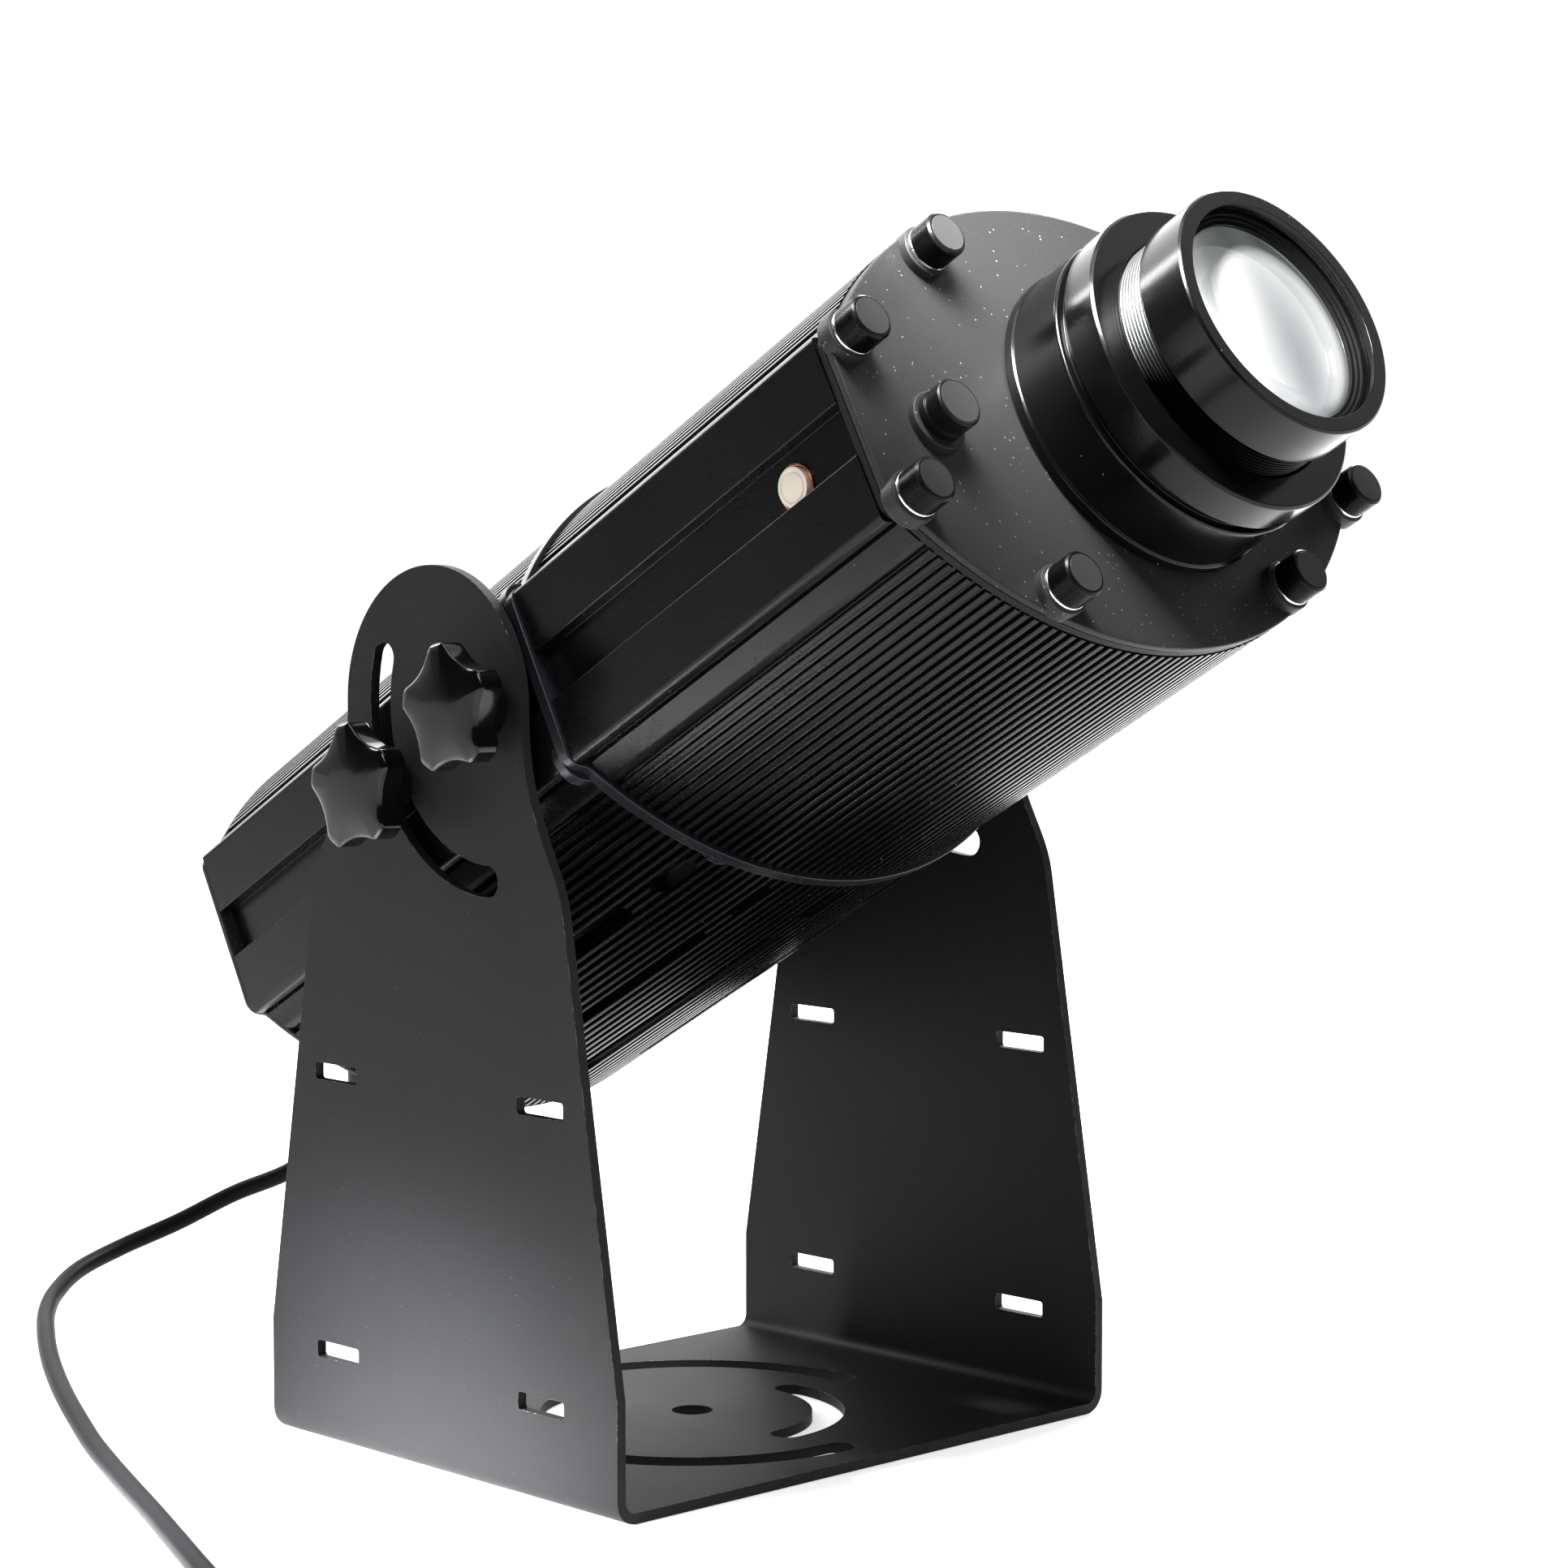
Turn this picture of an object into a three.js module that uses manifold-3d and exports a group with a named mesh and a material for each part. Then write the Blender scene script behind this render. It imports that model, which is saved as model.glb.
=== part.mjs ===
// Gobo projector: a tilting head that throws a cut image through a focusing lens, in a U-shaped yoke.
// Millimetres, +Z up. The origin is the middle of the yoke's base, on its underside.
// X runs across the yoke along the tilt axis, and the lens looks towards -Y.
import * as THREE from 'three';
import { mergeVertices } from 'three/addons/utils/BufferGeometryUtils.js';
import Module from 'manifold-3d';

const wasm = await Module();
wasm.setup();

// Fits
const restGap = 0.3; // between pieces that lie against each other
const runGap = 0.3; // round what turns, slides or is screwed in
const overrun = 8; // how far a cutter passes the faces that it cuts

// Yoke: one bent sheet
const yokeWidth = 260;
const yokeDepth = 206;
const sheetThickness = 4;
const bendInnerRadius = 5;
const armStraightHeight = 45;
const neckHeight = 216;
const neckHalfDepth = 74.5;
const shoulderHeight = 245;
const shoulderHalfDepth = 62;
const armHeadRadius = 51.4;
const shoulderHandleShare = 0.4;
const shoulderTurn = THREE.MathUtils.degToRad(9);
const strapSlotLength = 26;
const strapSlotWidth = 6.6;
const strapSlotInset = 42.2; // from the front and rear edges of the base
const lowerStrapSlotHeight = 37.3;
const upperStrapSlotHeight = 146.3;

// Holes of the yoke's base
const boltHoleRadius = 8.25;
const outerSlotInset = 19.5;
const slotRadiusStep = 29;
const baseSlotWidth = 13;

// Tilt axis and tilt lock
const pivotHeight = 290.7;
const pivotForward = 33;
const pivotDrop = 0.3; // below the middle of the arm's round head
const tiltAtRest = THREE.MathUtils.degToRad(29);
const lowestTilt = THREE.MathUtils.degToRad(-15);
const highestTilt = THREE.MathUtils.degToRad(89);
const lockRadius = 64;
const lockSlotWidth = 12;
const studRadius = 5;
const studHoleClearance = 0.5;

// Section of the housing
const headSideGap = 4; // between the housing and each arm
const wingHalfHeight = 35.1;
const wingCornerRadius = 4;
const crownHeight = 88.6;
const crownFootRise = 0.64; // of the crown's foot above the wing
const ledgeWidth = 7.7;
const channelHalfHeight = 9.8;
const channelDepth = 6;
const sideWall = 6;
const crownWall = 7;
const ledgeGrooveWidth = 2.4;
const ledgeGrooveDepth = 1.3;
const plainStripWidth = 9;
const ribPitch = 4.2;
const ribDepth = 2.2;
const voidWingDrop = 15.1;
const voidCornerInset = 19;
const voidCornerDrop = 9.1;

// Lengths of the head along the optical axis
const flangeFaceDistance = 24.1;
const plateThickness = 3;
const gasketThickness = 3;
const gasketWidth = 14;
const frontHousingLength = 178;
const flangeThickness = 5;
const flangeProud = 1.7;
const flangeCornerRadius = 7;
const rearHousingLength = 220;
const rearPlateThickness = 2.5;
const plateCornerRadius = 6;

// Cooling slots of the rear housing
const ventWidth = 7;
const ventPitch = 36;
const ventsPerRow = 5;
const ventRearMargin = 36;
const shortVentLength = 24;
const firstVentDistance = 9;
const ventRowGap = 17;

// Thumb screws of the front plate
const crownScrewHalfWidth = 59.9;
const crownScrewInset = 9.92;
const wingScrewInset = 8.4;
const wingScrewDrop = 4.4;
const screwShankRadius = 2;
const screwShankLength = 22;
const screwBossRadius = 7;
const collarRadius = 9.75;
const collarHeight = 3.5;
const flangeCollarHeight = 3.5;
const screwRingRadius = 8.7;
const screwRingHeight = 1.2;
const thumbHeadRadius = 8.5;
const thumbHeadHeight = 9.9;
const thumbHeadChamfer = 0.8;

// Speed control
const controlInset = 35.1;
const controlDrop = 1.4;
const controlCollarRadius = 11.2;
const controlCollarHeight = 3.2;
const controlKnobRadius = 9.8;
const controlKnobHeight = 11.7;
const controlKnobGroove = 0.7;
const controlKnobGrooveWidth = 1.6;
const controlKnobSkirt = 3;
const controlShaftRadius = 3;
const controlShaftLength = 9;
const controlCanRadius = 8.5;
const controlCanHeight = 8;
const boardWidth = 30;
const boardHeight = 60;
const boardThickness = 1.6;

// Lens: the axis is set off from the middle of the head
const lensOffset = 16.9;
const lensRise = 1.1;
const lensFootRadius = 60.85;
const lensFootHeight = 4;
const lensFootChamfer = 2;
const lensBaseRadius = 60;
const lensBaseLength = 27;
const lensShoulderRadius = 4;
const lensGrooveDepth = 3.2;
const lensGrooveWidth = 4;
const lensCollarRadius = 60.1;
const lensCollarLength = 14.4;
const lensCollarBevel = 1;
const lensSpigotLength = 6;
const focusTubeRadius = 46.8;
const focusTubeWall = 3.3;
const focusTubeExposed = 10.9;
const focusTubeRear = 8;
const focusTubeLip = 3.6;
const focusTubeLipLength = 3;
const barrelRadius = 48.4;
const barrelLength = 20.4;
const barrelChamfer = 0.8;
const barrelMouthRadius = 42.2;
const barrelMouthLip = 2;
const barrelThreadLength = 10;
const frontLensEdge = 6;
const frontLensRise = 7;
const lensRimWidth = 1.5;
const rearLensEdge = 5;
const rearLensRise = 5;
const lensRingWidth = 4.6;
const lensRingLength = 4;

// Light engine
const condenserFootRadius = 42;
const condenserFootHeight = 4;
const condenserWall = 4;
const condenserLength = 60;
const smallCondenserRadius = 27.5;
const largeCondenserRadius = 31.5;
const condenserSeat = 3;
const condenserSeatDistance = 12;
const condenserStepDistance = 32;
const condenserEdge = 4;
const condenserRise = 9;
const ledBoardWidth = 44;
const ledBoardThickness = 2;
const emitterRadius = 12;
const emitterHeight = 1.5;
const flangeWindowRadius = 33;
const sinkWidth = 96;
const sinkBaseThickness = 8;
const sinkLength = 78;
const finCount = 13;
const finThickness = 2;

// Gobo and its drive
const goboPlateDistance = 76;
const goboPlateThickness = 3;
const goboPlateHeadroom = 36.6; // under the crown, at its top and bottom edges
const goboPlateWidth = 132;
const goboPlateShift = 18;
const goboPostRadius = 4;
const goboPostInset = 8;
const gearModule = 2.8;
const gearTeeth = 32;
const pinionTeeth = 8;
const gearThickness = 6;
const gearHubRadius = 32;
const goboRadius = 26;
const goboThickness = 1.1;
const goboAperture = 23.5;
const goboRecess = 3;
const goboRingWidth = 2.5;
const goboRingThickness = 1.2;
const motorRadius = 17.5;
const motorLength = 30;
const motorShaftRadius = 2.5;
const rootWidthShare = 0.62;
const tipWidthShare = 0.26;
const toothAddendumShare = 0.9;
const toothDedendumShare = 1.15;

// Fan and power supply
const fanWidth = 92;
const fanDepth = 25;
const fanBoreRadius = 43;
const fanHubRadius = 18;
const fanHubDepth = 15;
const fanBackDepth = 4;
const fanStrutWidth = 5;
const fanBladeTipGap = 1.5;
const fanBladeThickness = 1.6;
const fanBladeDepth = 12;
const fanBladePitch = THREE.MathUtils.degToRad(35);
const fanBlades = 7;
const supplyWidth = 100;
const supplyHeight = 42;
const supplyFanGap = 18.7;
const supplyFootroom = 29.6; // between its foot and the bottom of the crown
const supplyLidInset = 3;
const supplyLidHeight = 2;

// Breather in the side channel
const breatherSetback = 34.9; // behind the front of its housing
const breatherDrop = 2.5;
const breatherSealWidth = 1;
const breatherRadius = 4.3;
const breatherProud = 1.2;
const breatherStemLength = 5;
const breatherRimWidth = 1.1;
const breatherGrooveDepth = 0.4;

// Star knobs, their studs and the spacers in the channel
const spacerRadius = 9.2;
const knobHubRadius = 11;
const knobHubHeight = 10.5;
const knobHeight = 22.5;
const knobRadius = 24.2;
const knobLobes = 5;
const lobeSwing = THREE.MathUtils.degToRad(80);
const lobeRadiusShare = 0.36;
const valleyRadiusShare = 0.6;
const knobEdgeShare = 0.93;
const knobDomeShare = 0.7;
const knobEdgeHeight = 2;
const knobDomeHeight = 1.5;
const studInsideLength = 4;
const studInKnobLength = 14;

// Gland and cord guard on the rear plate
const glandThreadRadius = 8;
const glandThreadLength = 10;
const glandHexRadius = 13;
const glandHexHeight = 6;
const domeNutRadius = 11.6;
const domeNutTipRadius = 8.6;
const domeNutLength = 13;
const guardRootRadius = 7.4;
const guardTipRadius = 5.4;
const guardLength = 30;
const cordHoleClearance = 0.4;

// Cord and plug
const cordRadius = 4;
const cordLength = 1500;
const routeExitHeight = 167.17; // of the guard's end where the route below is drawn
const cordSides = 8;
const cordStep = 24;
const coilMidRadius = 40;
const coilTurnPitch = 8.6;
const coilTail = 42;
const coilInwardShare = 0.25;
const coilSteps = 24;
const coilSides = 6;
const floorGap = 0.1;
const plugRadius = 18.5;
const plugLength = 36;
const plugNeckRadius = 7.5;
const plugNeckLength = 14;
const plugPinRadius = 2.4;
const plugPinLength = 19;
const plugPinSpacing = 19;
const plugPinSeat = 8;

// The cord's route, from the end of its guard to the start of its coil
const cordRoute = [
  [0, 202, 160], [12, 234, 138], [32, 261, 115], [51, 288, 92], [62, 320, 68],
  [60, 352, 49], [45, 376, 37], [22, 388, 25], [-8, 391, 16.5], [-38, 382, 11],
  [-64, 362, 6.5], [-84, 338, 4.5], [-107, 303, 4.1], [-131, 263, 4.1], [-153, 223, 4.1], [-172, 186, 4.1],
  [-189, 151, 4.1], [-205, 117, 4.1], [-219, 84, 4.1], [-232, 52, 4.1], [-246, 17, 4.1], [-260, -17, 4.1],
  [-274, -51, 4.1], [-288, -86, 4.1], [-301, -121, 4.1], [-314, -156, 4.1],
];

// Facets
const smallArcSteps = 3;
const tinyTurnSegments = 8;
const screwTurnSegments = 12;
const midTurnSegments = 18;
const lensTurnSegments = 28;

// Colours and surface of each kind of material
const finishes = {
  powderBlack: { color: 0x232528, roughness: 0.75, metalness: 0.1 },
  anodisedBlack: { color: 0x101114, roughness: 0.45, metalness: 0.6 },
  blackPlastic: { color: 0x0b0b0c, roughness: 0.3, metalness: 0 },
  rubber: { color: 0x141414, roughness: 0.85, metalness: 0 },
  steel: { color: 0xc4c6c8, roughness: 0.3, metalness: 1 },
  aluminium: { color: 0xb4b7ba, roughness: 0.35, metalness: 1 },
  copper: { color: 0xb5603c, roughness: 0.4, metalness: 0.8 },
  brass: { color: 0xc2a14e, roughness: 0.3, metalness: 1 },
  glass: { color: 0xeaf2f5, roughness: 0.03, metalness: 0 },
  whitePlastic: { color: 0xe8e6df, roughness: 0.5, metalness: 0 },
  board: { color: 0x1c5a34, roughness: 0.6, metalness: 0 },
};

// The head fills the yoke from arm to arm, and its crowns rise from its wings.
const armInnerFace = yokeWidth / 2 - sheetThickness;
const armOuterFace = yokeWidth / 2;
const armHeadHeight = pivotHeight + pivotDrop;
const strapSlotSpacing = yokeDepth - 2 * strapSlotInset;
const outerSlotRadius = yokeDepth / 2 - outerSlotInset;
const innerSlotRadius = outerSlotRadius - slotRadiusStep;
const housingHalfWidth = armInnerFace - headSideGap;
const floorOfChannel = housingHalfWidth - channelDepth;
const ledgeHalfWidth = housingHalfWidth - ledgeWidth;
const crownRise = crownHeight - wingHalfHeight - crownFootRise;
const crownRadius = (crownRise ** 2 + ledgeHalfWidth ** 2) / (2 * crownRise);
const crownCentre = crownHeight - crownRadius;
const crownOverScrew = crownCentre + Math.sqrt(crownRadius ** 2 - crownScrewHalfWidth ** 2);
const crownScrewHalfHeight = crownOverScrew - crownScrewInset;
const wingScrewHalfWidth = housingHalfWidth - wingScrewInset;
const wingScrewHalfHeight = wingHalfHeight - wingScrewDrop;
const controlOffset = housingHalfWidth - controlInset;
const goboPlateHeight = 2 * (crownHeight - goboPlateHeadroom);
const supplyDrop = crownHeight - supplyFootroom - supplyHeight / 2;

// Distances along the optical axis, both ways from the flange
const flangeFace = flangeFaceDistance;
const frontHousingFace = flangeFace + restGap + frontHousingLength;
const gasketFront = frontHousingFace + restGap + gasketThickness;
const plateRear = gasketFront + restGap;
const plateFace = plateRear + plateThickness;
const breatherDistance = frontHousingFace - breatherSetback;
const rearHousingFace = flangeFace - flangeThickness - restGap;
const rearPlateFace = rearHousingFace - rearHousingLength - restGap;
const rearPlateRear = rearPlateFace - rearPlateThickness;
const longVentLength = rearHousingLength - firstVentDistance - shortVentLength - ventRowGap - ventRearMargin;
const fanFront = rearHousingFace - sinkLength - restGap;
const fanRear = fanFront - fanDepth;
const supplyLength = fanRear - supplyFanGap - rearPlateFace - restGap;
const lensCentre = new THREE.Vector2(lensOffset, lensRise);

// Solids

function toSolid(geometry) {
  const bare = geometry.clone();
  bare.deleteAttribute('normal');
  bare.deleteAttribute('uv');
  const merged = mergeVertices(bare);
  return new wasm.Manifold(new wasm.Mesh({
    numProp: 3,
    vertProperties: Float32Array.from(merged.attributes.position.array),
    triVerts: Uint32Array.from(merged.index.array),
  }));
}

function toGeometry(solid) {
  const mesh = solid.getMesh();
  const geometry = new THREE.BufferGeometry();
  geometry.setAttribute('position', new THREE.BufferAttribute(mesh.vertProperties, 3));
  geometry.setIndex(new THREE.BufferAttribute(mesh.triVerts, 1));
  return geometry;
}

function join(geometry, ...others) {
  return toGeometry(others.reduce((whole, other) => whole.add(toSolid(other)), toSolid(geometry)));
}

function cut(geometry, ...cutters) {
  return toGeometry(cutters.reduce((rest, cutter) => rest.subtract(toSolid(cutter)), toSolid(geometry)));
}

function common(geometry, other) {
  return toGeometry(toSolid(geometry).intersect(toSolid(other)));
}

// An outline of points, extruded along +Z from the given height
function prism(points, depth, from = 0, holes = []) {
  const shape = new THREE.Shape(points);
  shape.holes = holes.map((hole) => new THREE.Path(hole));
  return new THREE.ExtrudeGeometry(shape, { depth, steps: 1, bevelEnabled: false }).translate(0, 0, from);
}

// A profile of [radius, height] points, turned round the Z axis. It closes on itself or on the axis.
function turned(profile, segments) {
  const points = profile.map(([radius, height]) => new THREE.Vector2(radius, height));
  if (THREE.ShapeUtils.area(points) < 0) points.reverse();
  if (points.some((point) => point.x > 0) && !(points[0].x === 0 && points.at(-1).x === 0)) {
    const onAxis = points.findIndex((point, index) => point.x === 0 && points.at(index - 1).x === 0);
    if (onAxis >= 0) points.push(...points.splice(0, onAxis));
    else points.push(points[0].clone());
  }
  return new THREE.LatheGeometry(points, segments).rotateX(Math.PI / 2);
}

function disc(radius, depth, from, segments) {
  return turned([[0, from], [radius, from], [radius, from + depth], [0, from + depth]], segments);
}

function block(width, height, depth, from) {
  return new THREE.BoxGeometry(width, height, depth).translate(0, 0, from + depth / 2);
}

function arcPoints(centre, radius, start, end, steps) {
  return Array.from({ length: steps + 1 }, (_, index) => {
    const angle = start + ((end - start) * index) / steps;
    return new THREE.Vector2(centre.x + radius * Math.cos(angle), centre.y + radius * Math.sin(angle));
  });
}

// A slot with round ends that follows an arc about the origin
function arcSlot(radius, width, start, end, steps) {
  const half = width / 2;
  const endCap = new THREE.Vector2(radius * Math.cos(end), radius * Math.sin(end));
  const startCap = new THREE.Vector2(radius * Math.cos(start), radius * Math.sin(start));
  const origin = new THREE.Vector2();
  return [
    ...arcPoints(origin, radius + half, start, end, steps),
    ...arcPoints(endCap, half, end, end + Math.PI, smallArcSteps + 1).slice(1, -1),
    ...arcPoints(origin, radius - half, end, start, steps),
    ...arcPoints(startCap, half, start + Math.PI, start + 2 * Math.PI, smallArcSteps + 1).slice(1, -1),
  ];
}

// A straight slot with round ends, long along Y
function straightSlot(length, width, steps) {
  const half = width / 2;
  const reach = length / 2 - half;
  return [
    ...arcPoints(new THREE.Vector2(0, reach), half, 0, Math.PI, steps),
    ...arcPoints(new THREE.Vector2(0, -reach), half, Math.PI, 2 * Math.PI, steps),
  ];
}

// A closed skin over rings that all have as many points, with a fan on the first and the last
function skin(rings) {
  const count = rings[0].length;
  const middle = (ring) => ring
    .reduce((sum, point) => sum.add(point), new THREE.Vector3())
    .divideScalar(count);
  const vertices = [...rings.flat(), middle(rings[0]), middle(rings.at(-1))];
  const start = vertices.length - 2;
  const end = vertices.length - 1;
  const last = (rings.length - 1) * count;
  const faces = [];
  for (let index = 0; index < count; index += 1) {
    const next = (index + 1) % count;
    faces.push(start, next, index, end, last + index, last + next);
    for (let ring = 0; ring < rings.length - 1; ring += 1) {
      const low = ring * count;
      const high = low + count;
      faces.push(low + index, low + next, high + next, low + index, high + next, high + index);
    }
  }
  const geometry = new THREE.BufferGeometry().setFromPoints(vertices);
  geometry.setIndex(faces);
  return geometry;
}

const part = new THREE.Group();
const head = new THREE.Group();
head.position.set(0, -pivotForward, pivotHeight);
head.rotation.x = Math.PI / 2 - tiltAtRest;
part.add(head);

function addMesh(parent, name, finish, geometry) {
  const mesh = new THREE.Mesh(geometry, new THREE.MeshStandardMaterial(finishes[finish]));
  mesh.name = name;
  parent.add(mesh);
  return mesh;
}

// Yoke

const alongX = new THREE.Matrix4().makeBasis(
  new THREE.Vector3(0, 1, 0), new THREE.Vector3(0, 0, 1), new THREE.Vector3(1, 0, 0));
const alongMinusY = new THREE.Matrix4().makeBasis(
  new THREE.Vector3(1, 0, 0), new THREE.Vector3(0, 0, 1), new THREE.Vector3(0, -1, 0));

function bentSheetProfile(inset, bendRadius, height) {
  const half = yokeWidth / 2 - inset;
  const left = new THREE.Vector2(-half + bendRadius, inset + bendRadius);
  const right = new THREE.Vector2(half - bendRadius, inset + bendRadius);
  return [
    new THREE.Vector2(-half, height),
    ...arcPoints(left, bendRadius, Math.PI, 1.5 * Math.PI, smallArcSteps),
    ...arcPoints(right, bendRadius, -0.5 * Math.PI, 0, smallArcSteps),
    new THREE.Vector2(half, height),
  ];
}

// The arm's outline in Y and Z: straight, tapering, then shouldered in to a round head
function armOutline() {
  const taper = new THREE.Vector2(neckHalfDepth - yokeDepth / 2, neckHeight - armStraightHeight).normalize();
  const shoulderRise = shoulderHeight - neckHeight;
  const headRise = armHeadHeight - shoulderHeight;
  const slant = new THREE.Vector2(armHeadRadius - neckHalfDepth, armHeadHeight - neckHeight)
    .rotateAround(new THREE.Vector2(), shoulderTurn).normalize();
  const lowHandle = shoulderRise * shoulderHandleShare;
  const highHandle = headRise * shoulderHandleShare;
  const rear = new THREE.Path();
  rear.moveTo(yokeDepth / 2, armStraightHeight);
  rear.lineTo(neckHalfDepth, neckHeight);
  rear.bezierCurveTo(
    neckHalfDepth + taper.x * lowHandle, neckHeight + taper.y * lowHandle,
    shoulderHalfDepth - slant.x * lowHandle, shoulderHeight - slant.y * lowHandle,
    shoulderHalfDepth, shoulderHeight);
  rear.bezierCurveTo(
    shoulderHalfDepth + slant.x * highHandle, shoulderHeight + slant.y * highHandle,
    armHeadRadius, armHeadHeight - highHandle,
    armHeadRadius, armHeadHeight);
  const side = rear.getPoints(smallArcSteps);
  const crown = arcPoints(new THREE.Vector2(0, armHeadHeight), armHeadRadius, 0, Math.PI, 5 * smallArcSteps);
  const mirrored = side.map((point) => new THREE.Vector2(-point.x, point.y)).reverse();
  const foot = [new THREE.Vector2(-yokeDepth / 2, -overrun), new THREE.Vector2(yokeDepth / 2, -overrun)];
  return [...side, ...crown.slice(1, -1), ...mirrored, ...foot];
}

function yokeBracket() {
  const height = armHeadHeight + armHeadRadius;
  const outer = bentSheetProfile(0, bendInnerRadius + sheetThickness, height);
  const inner = bentSheetProfile(sheetThickness, bendInnerRadius, height).reverse();
  const strip = prism([...outer, ...inner], yokeDepth)
    .applyMatrix4(alongMinusY)
    .translate(0, yokeDepth / 2, 0);
  const span = yokeWidth + 2 * overrun;
  const acrossArms = (points, y, z) =>
    prism(points, span, -span / 2).applyMatrix4(alongX).translate(0, y, z);
  const lockSlot = arcSlot(lockRadius, lockSlotWidth, -highestTilt, -lowestTilt, 3 * smallArcSteps);
  const pivotHole = arcPoints(
    new THREE.Vector2(), studRadius + studHoleClearance, 0, 2 * Math.PI, midTurnSegments);
  const cutters = [
    acrossArms(lockSlot, -pivotForward, pivotHeight),
    acrossArms(pivotHole.slice(1), -pivotForward, pivotHeight),
  ];
  for (const side of [-1, 1]) {
    for (const strapHeight of [lowerStrapSlotHeight, upperStrapSlotHeight]) {
      const slot = straightSlot(strapSlotLength, strapSlotWidth, smallArcSteps)
        .map((point) => new THREE.Vector2(point.y, -point.x));
      cutters.push(acrossArms(slot, (side * strapSlotSpacing) / 2, strapHeight));
    }
  }
  const quarter = Math.PI / 2;
  const throughBase = (points) => prism(points, sheetThickness + 2 * overrun, -overrun);
  cutters.push(disc(boltHoleRadius, sheetThickness + 2 * overrun, -overrun, midTurnSegments));
  for (const turn of [0, 2]) {
    const start = turn * quarter;
    const middle = start + quarter;
    cutters.push(throughBase(arcSlot(outerSlotRadius, baseSlotWidth, start, middle, 2 * smallArcSteps)));
    cutters.push(throughBase(
      arcSlot(innerSlotRadius, baseSlotWidth, middle, middle + quarter, 2 * smallArcSteps)));
  }
  return cut(common(strip, acrossArms(armOutline(), 0, 0)), ...cutters);
}

addMesh(part, 'yoke_bracket', 'powderBlack', yokeBracket());

// Housing sections, in the head's own X and Y, with Z along the optical axis

function mirrorQuarter(quarter) {
  const flip = (points, x, y) => points.map((point) => new THREE.Vector2(x * point.x, y * point.y));
  const whole = [
    ...quarter,
    ...flip(quarter, -1, 1).reverse(),
    ...flip(quarter, -1, -1),
    ...flip(quarter, 1, -1).reverse(),
  ];
  return whole.filter((point, index) => point.distanceTo(whole.at(index - 1)) > 0);
}

function crownPoint(radius, angle) {
  return new THREE.Vector2(radius * Math.sin(angle), crownCentre + radius * Math.cos(angle));
}

// One quarter of the extruded section: channel, wing, ledge groove, plain strip, then ribs to the crown
function ribbedQuarter() {
  const wingTop = new THREE.Vector2(housingHalfWidth - wingCornerRadius, wingHalfHeight - wingCornerRadius);
  const grooveFloor = wingHalfHeight - ledgeGrooveDepth;
  const ledgeAngle = Math.asin(ledgeHalfWidth / crownRadius);
  const ribAngle = ribPitch / crownRadius;
  const ribs = Math.floor((ledgeAngle - plainStripWidth / crownRadius) / ribAngle);
  const points = [
    new THREE.Vector2(floorOfChannel, channelHalfHeight),
    new THREE.Vector2(housingHalfWidth, channelHalfHeight),
    ...arcPoints(wingTop, wingCornerRadius, 0, Math.PI / 2, smallArcSteps),
    new THREE.Vector2(ledgeHalfWidth + ledgeGrooveWidth, grooveFloor),
    new THREE.Vector2(ledgeHalfWidth, grooveFloor),
    crownPoint(crownRadius, ledgeAngle),
  ];
  for (let rib = ribs - 1; rib >= 0; rib -= 1) {
    points.push(crownPoint(crownRadius - ribDepth, (rib + 1) * ribAngle));
    points.push(crownPoint(crownRadius, (rib + 0.5) * ribAngle));
  }
  points.push(crownPoint(crownRadius - ribDepth, 0));
  return points;
}

function voidQuarter() {
  const radius = crownRadius - crownWall;
  const cornerHalfWidth = housingHalfWidth - voidCornerInset;
  const edge = Math.asin(cornerHalfWidth / radius);
  const crown = Array.from({ length: 2 * smallArcSteps }, (_, index) =>
    crownPoint(radius, edge * (1 - index / (2 * smallArcSteps))));
  return [
    new THREE.Vector2(floorOfChannel - sideWall, wingHalfHeight - voidWingDrop),
    new THREE.Vector2(cornerHalfWidth, wingHalfHeight - voidCornerDrop),
    ...crown,
  ];
}

// The plain outline of the plates, the gasket and the flange, standing proud of the housing by a named amount
function plateQuarter(proud, cornerRadius) {
  const corner = new THREE.Vector2(
    housingHalfWidth + proud - cornerRadius, wingHalfHeight + proud - cornerRadius);
  const edge = Math.asin(ledgeHalfWidth / (crownRadius + proud));
  const steps = 2 * smallArcSteps;
  const crown = Array.from({ length: steps }, (_, index) =>
    crownPoint(crownRadius + proud, edge * (1 - index / steps)));
  return [...arcPoints(corner, cornerRadius, 0, Math.PI / 2, smallArcSteps), ...crown];
}

const screwPlaces = [];
for (const across of [-1, 1]) {
  for (const up of [-1, 1]) {
    screwPlaces.push([across * crownScrewHalfWidth, up * crownScrewHalfHeight]);
    screwPlaces.push([across * wingScrewHalfWidth, up * wingScrewHalfHeight]);
  }
}

function atScrews(make) {
  return screwPlaces.map(([x, y]) => make().translate(x, y, 0));
}

function crownBosses(length, from) {
  return screwPlaces
    .filter(([x]) => Math.abs(x) === crownScrewHalfWidth)
    .map(([x, y]) => disc(screwBossRadius, length, from, tinyTurnSegments).translate(x, y, 0));
}

function housing(length, from) {
  const shell = prism(mirrorQuarter(ribbedQuarter()), length, from, [mirrorQuarter(voidQuarter())]);
  return join(shell, ...crownBosses(length, from));
}

function sideHole(radius, side, distance, drop) {
  return disc(radius, sideWall + 2 * overrun, floorOfChannel - sideWall - overrun, midTurnSegments)
    .rotateY((side * Math.PI) / 2)
    .translate(0, -drop, distance);
}

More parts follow.
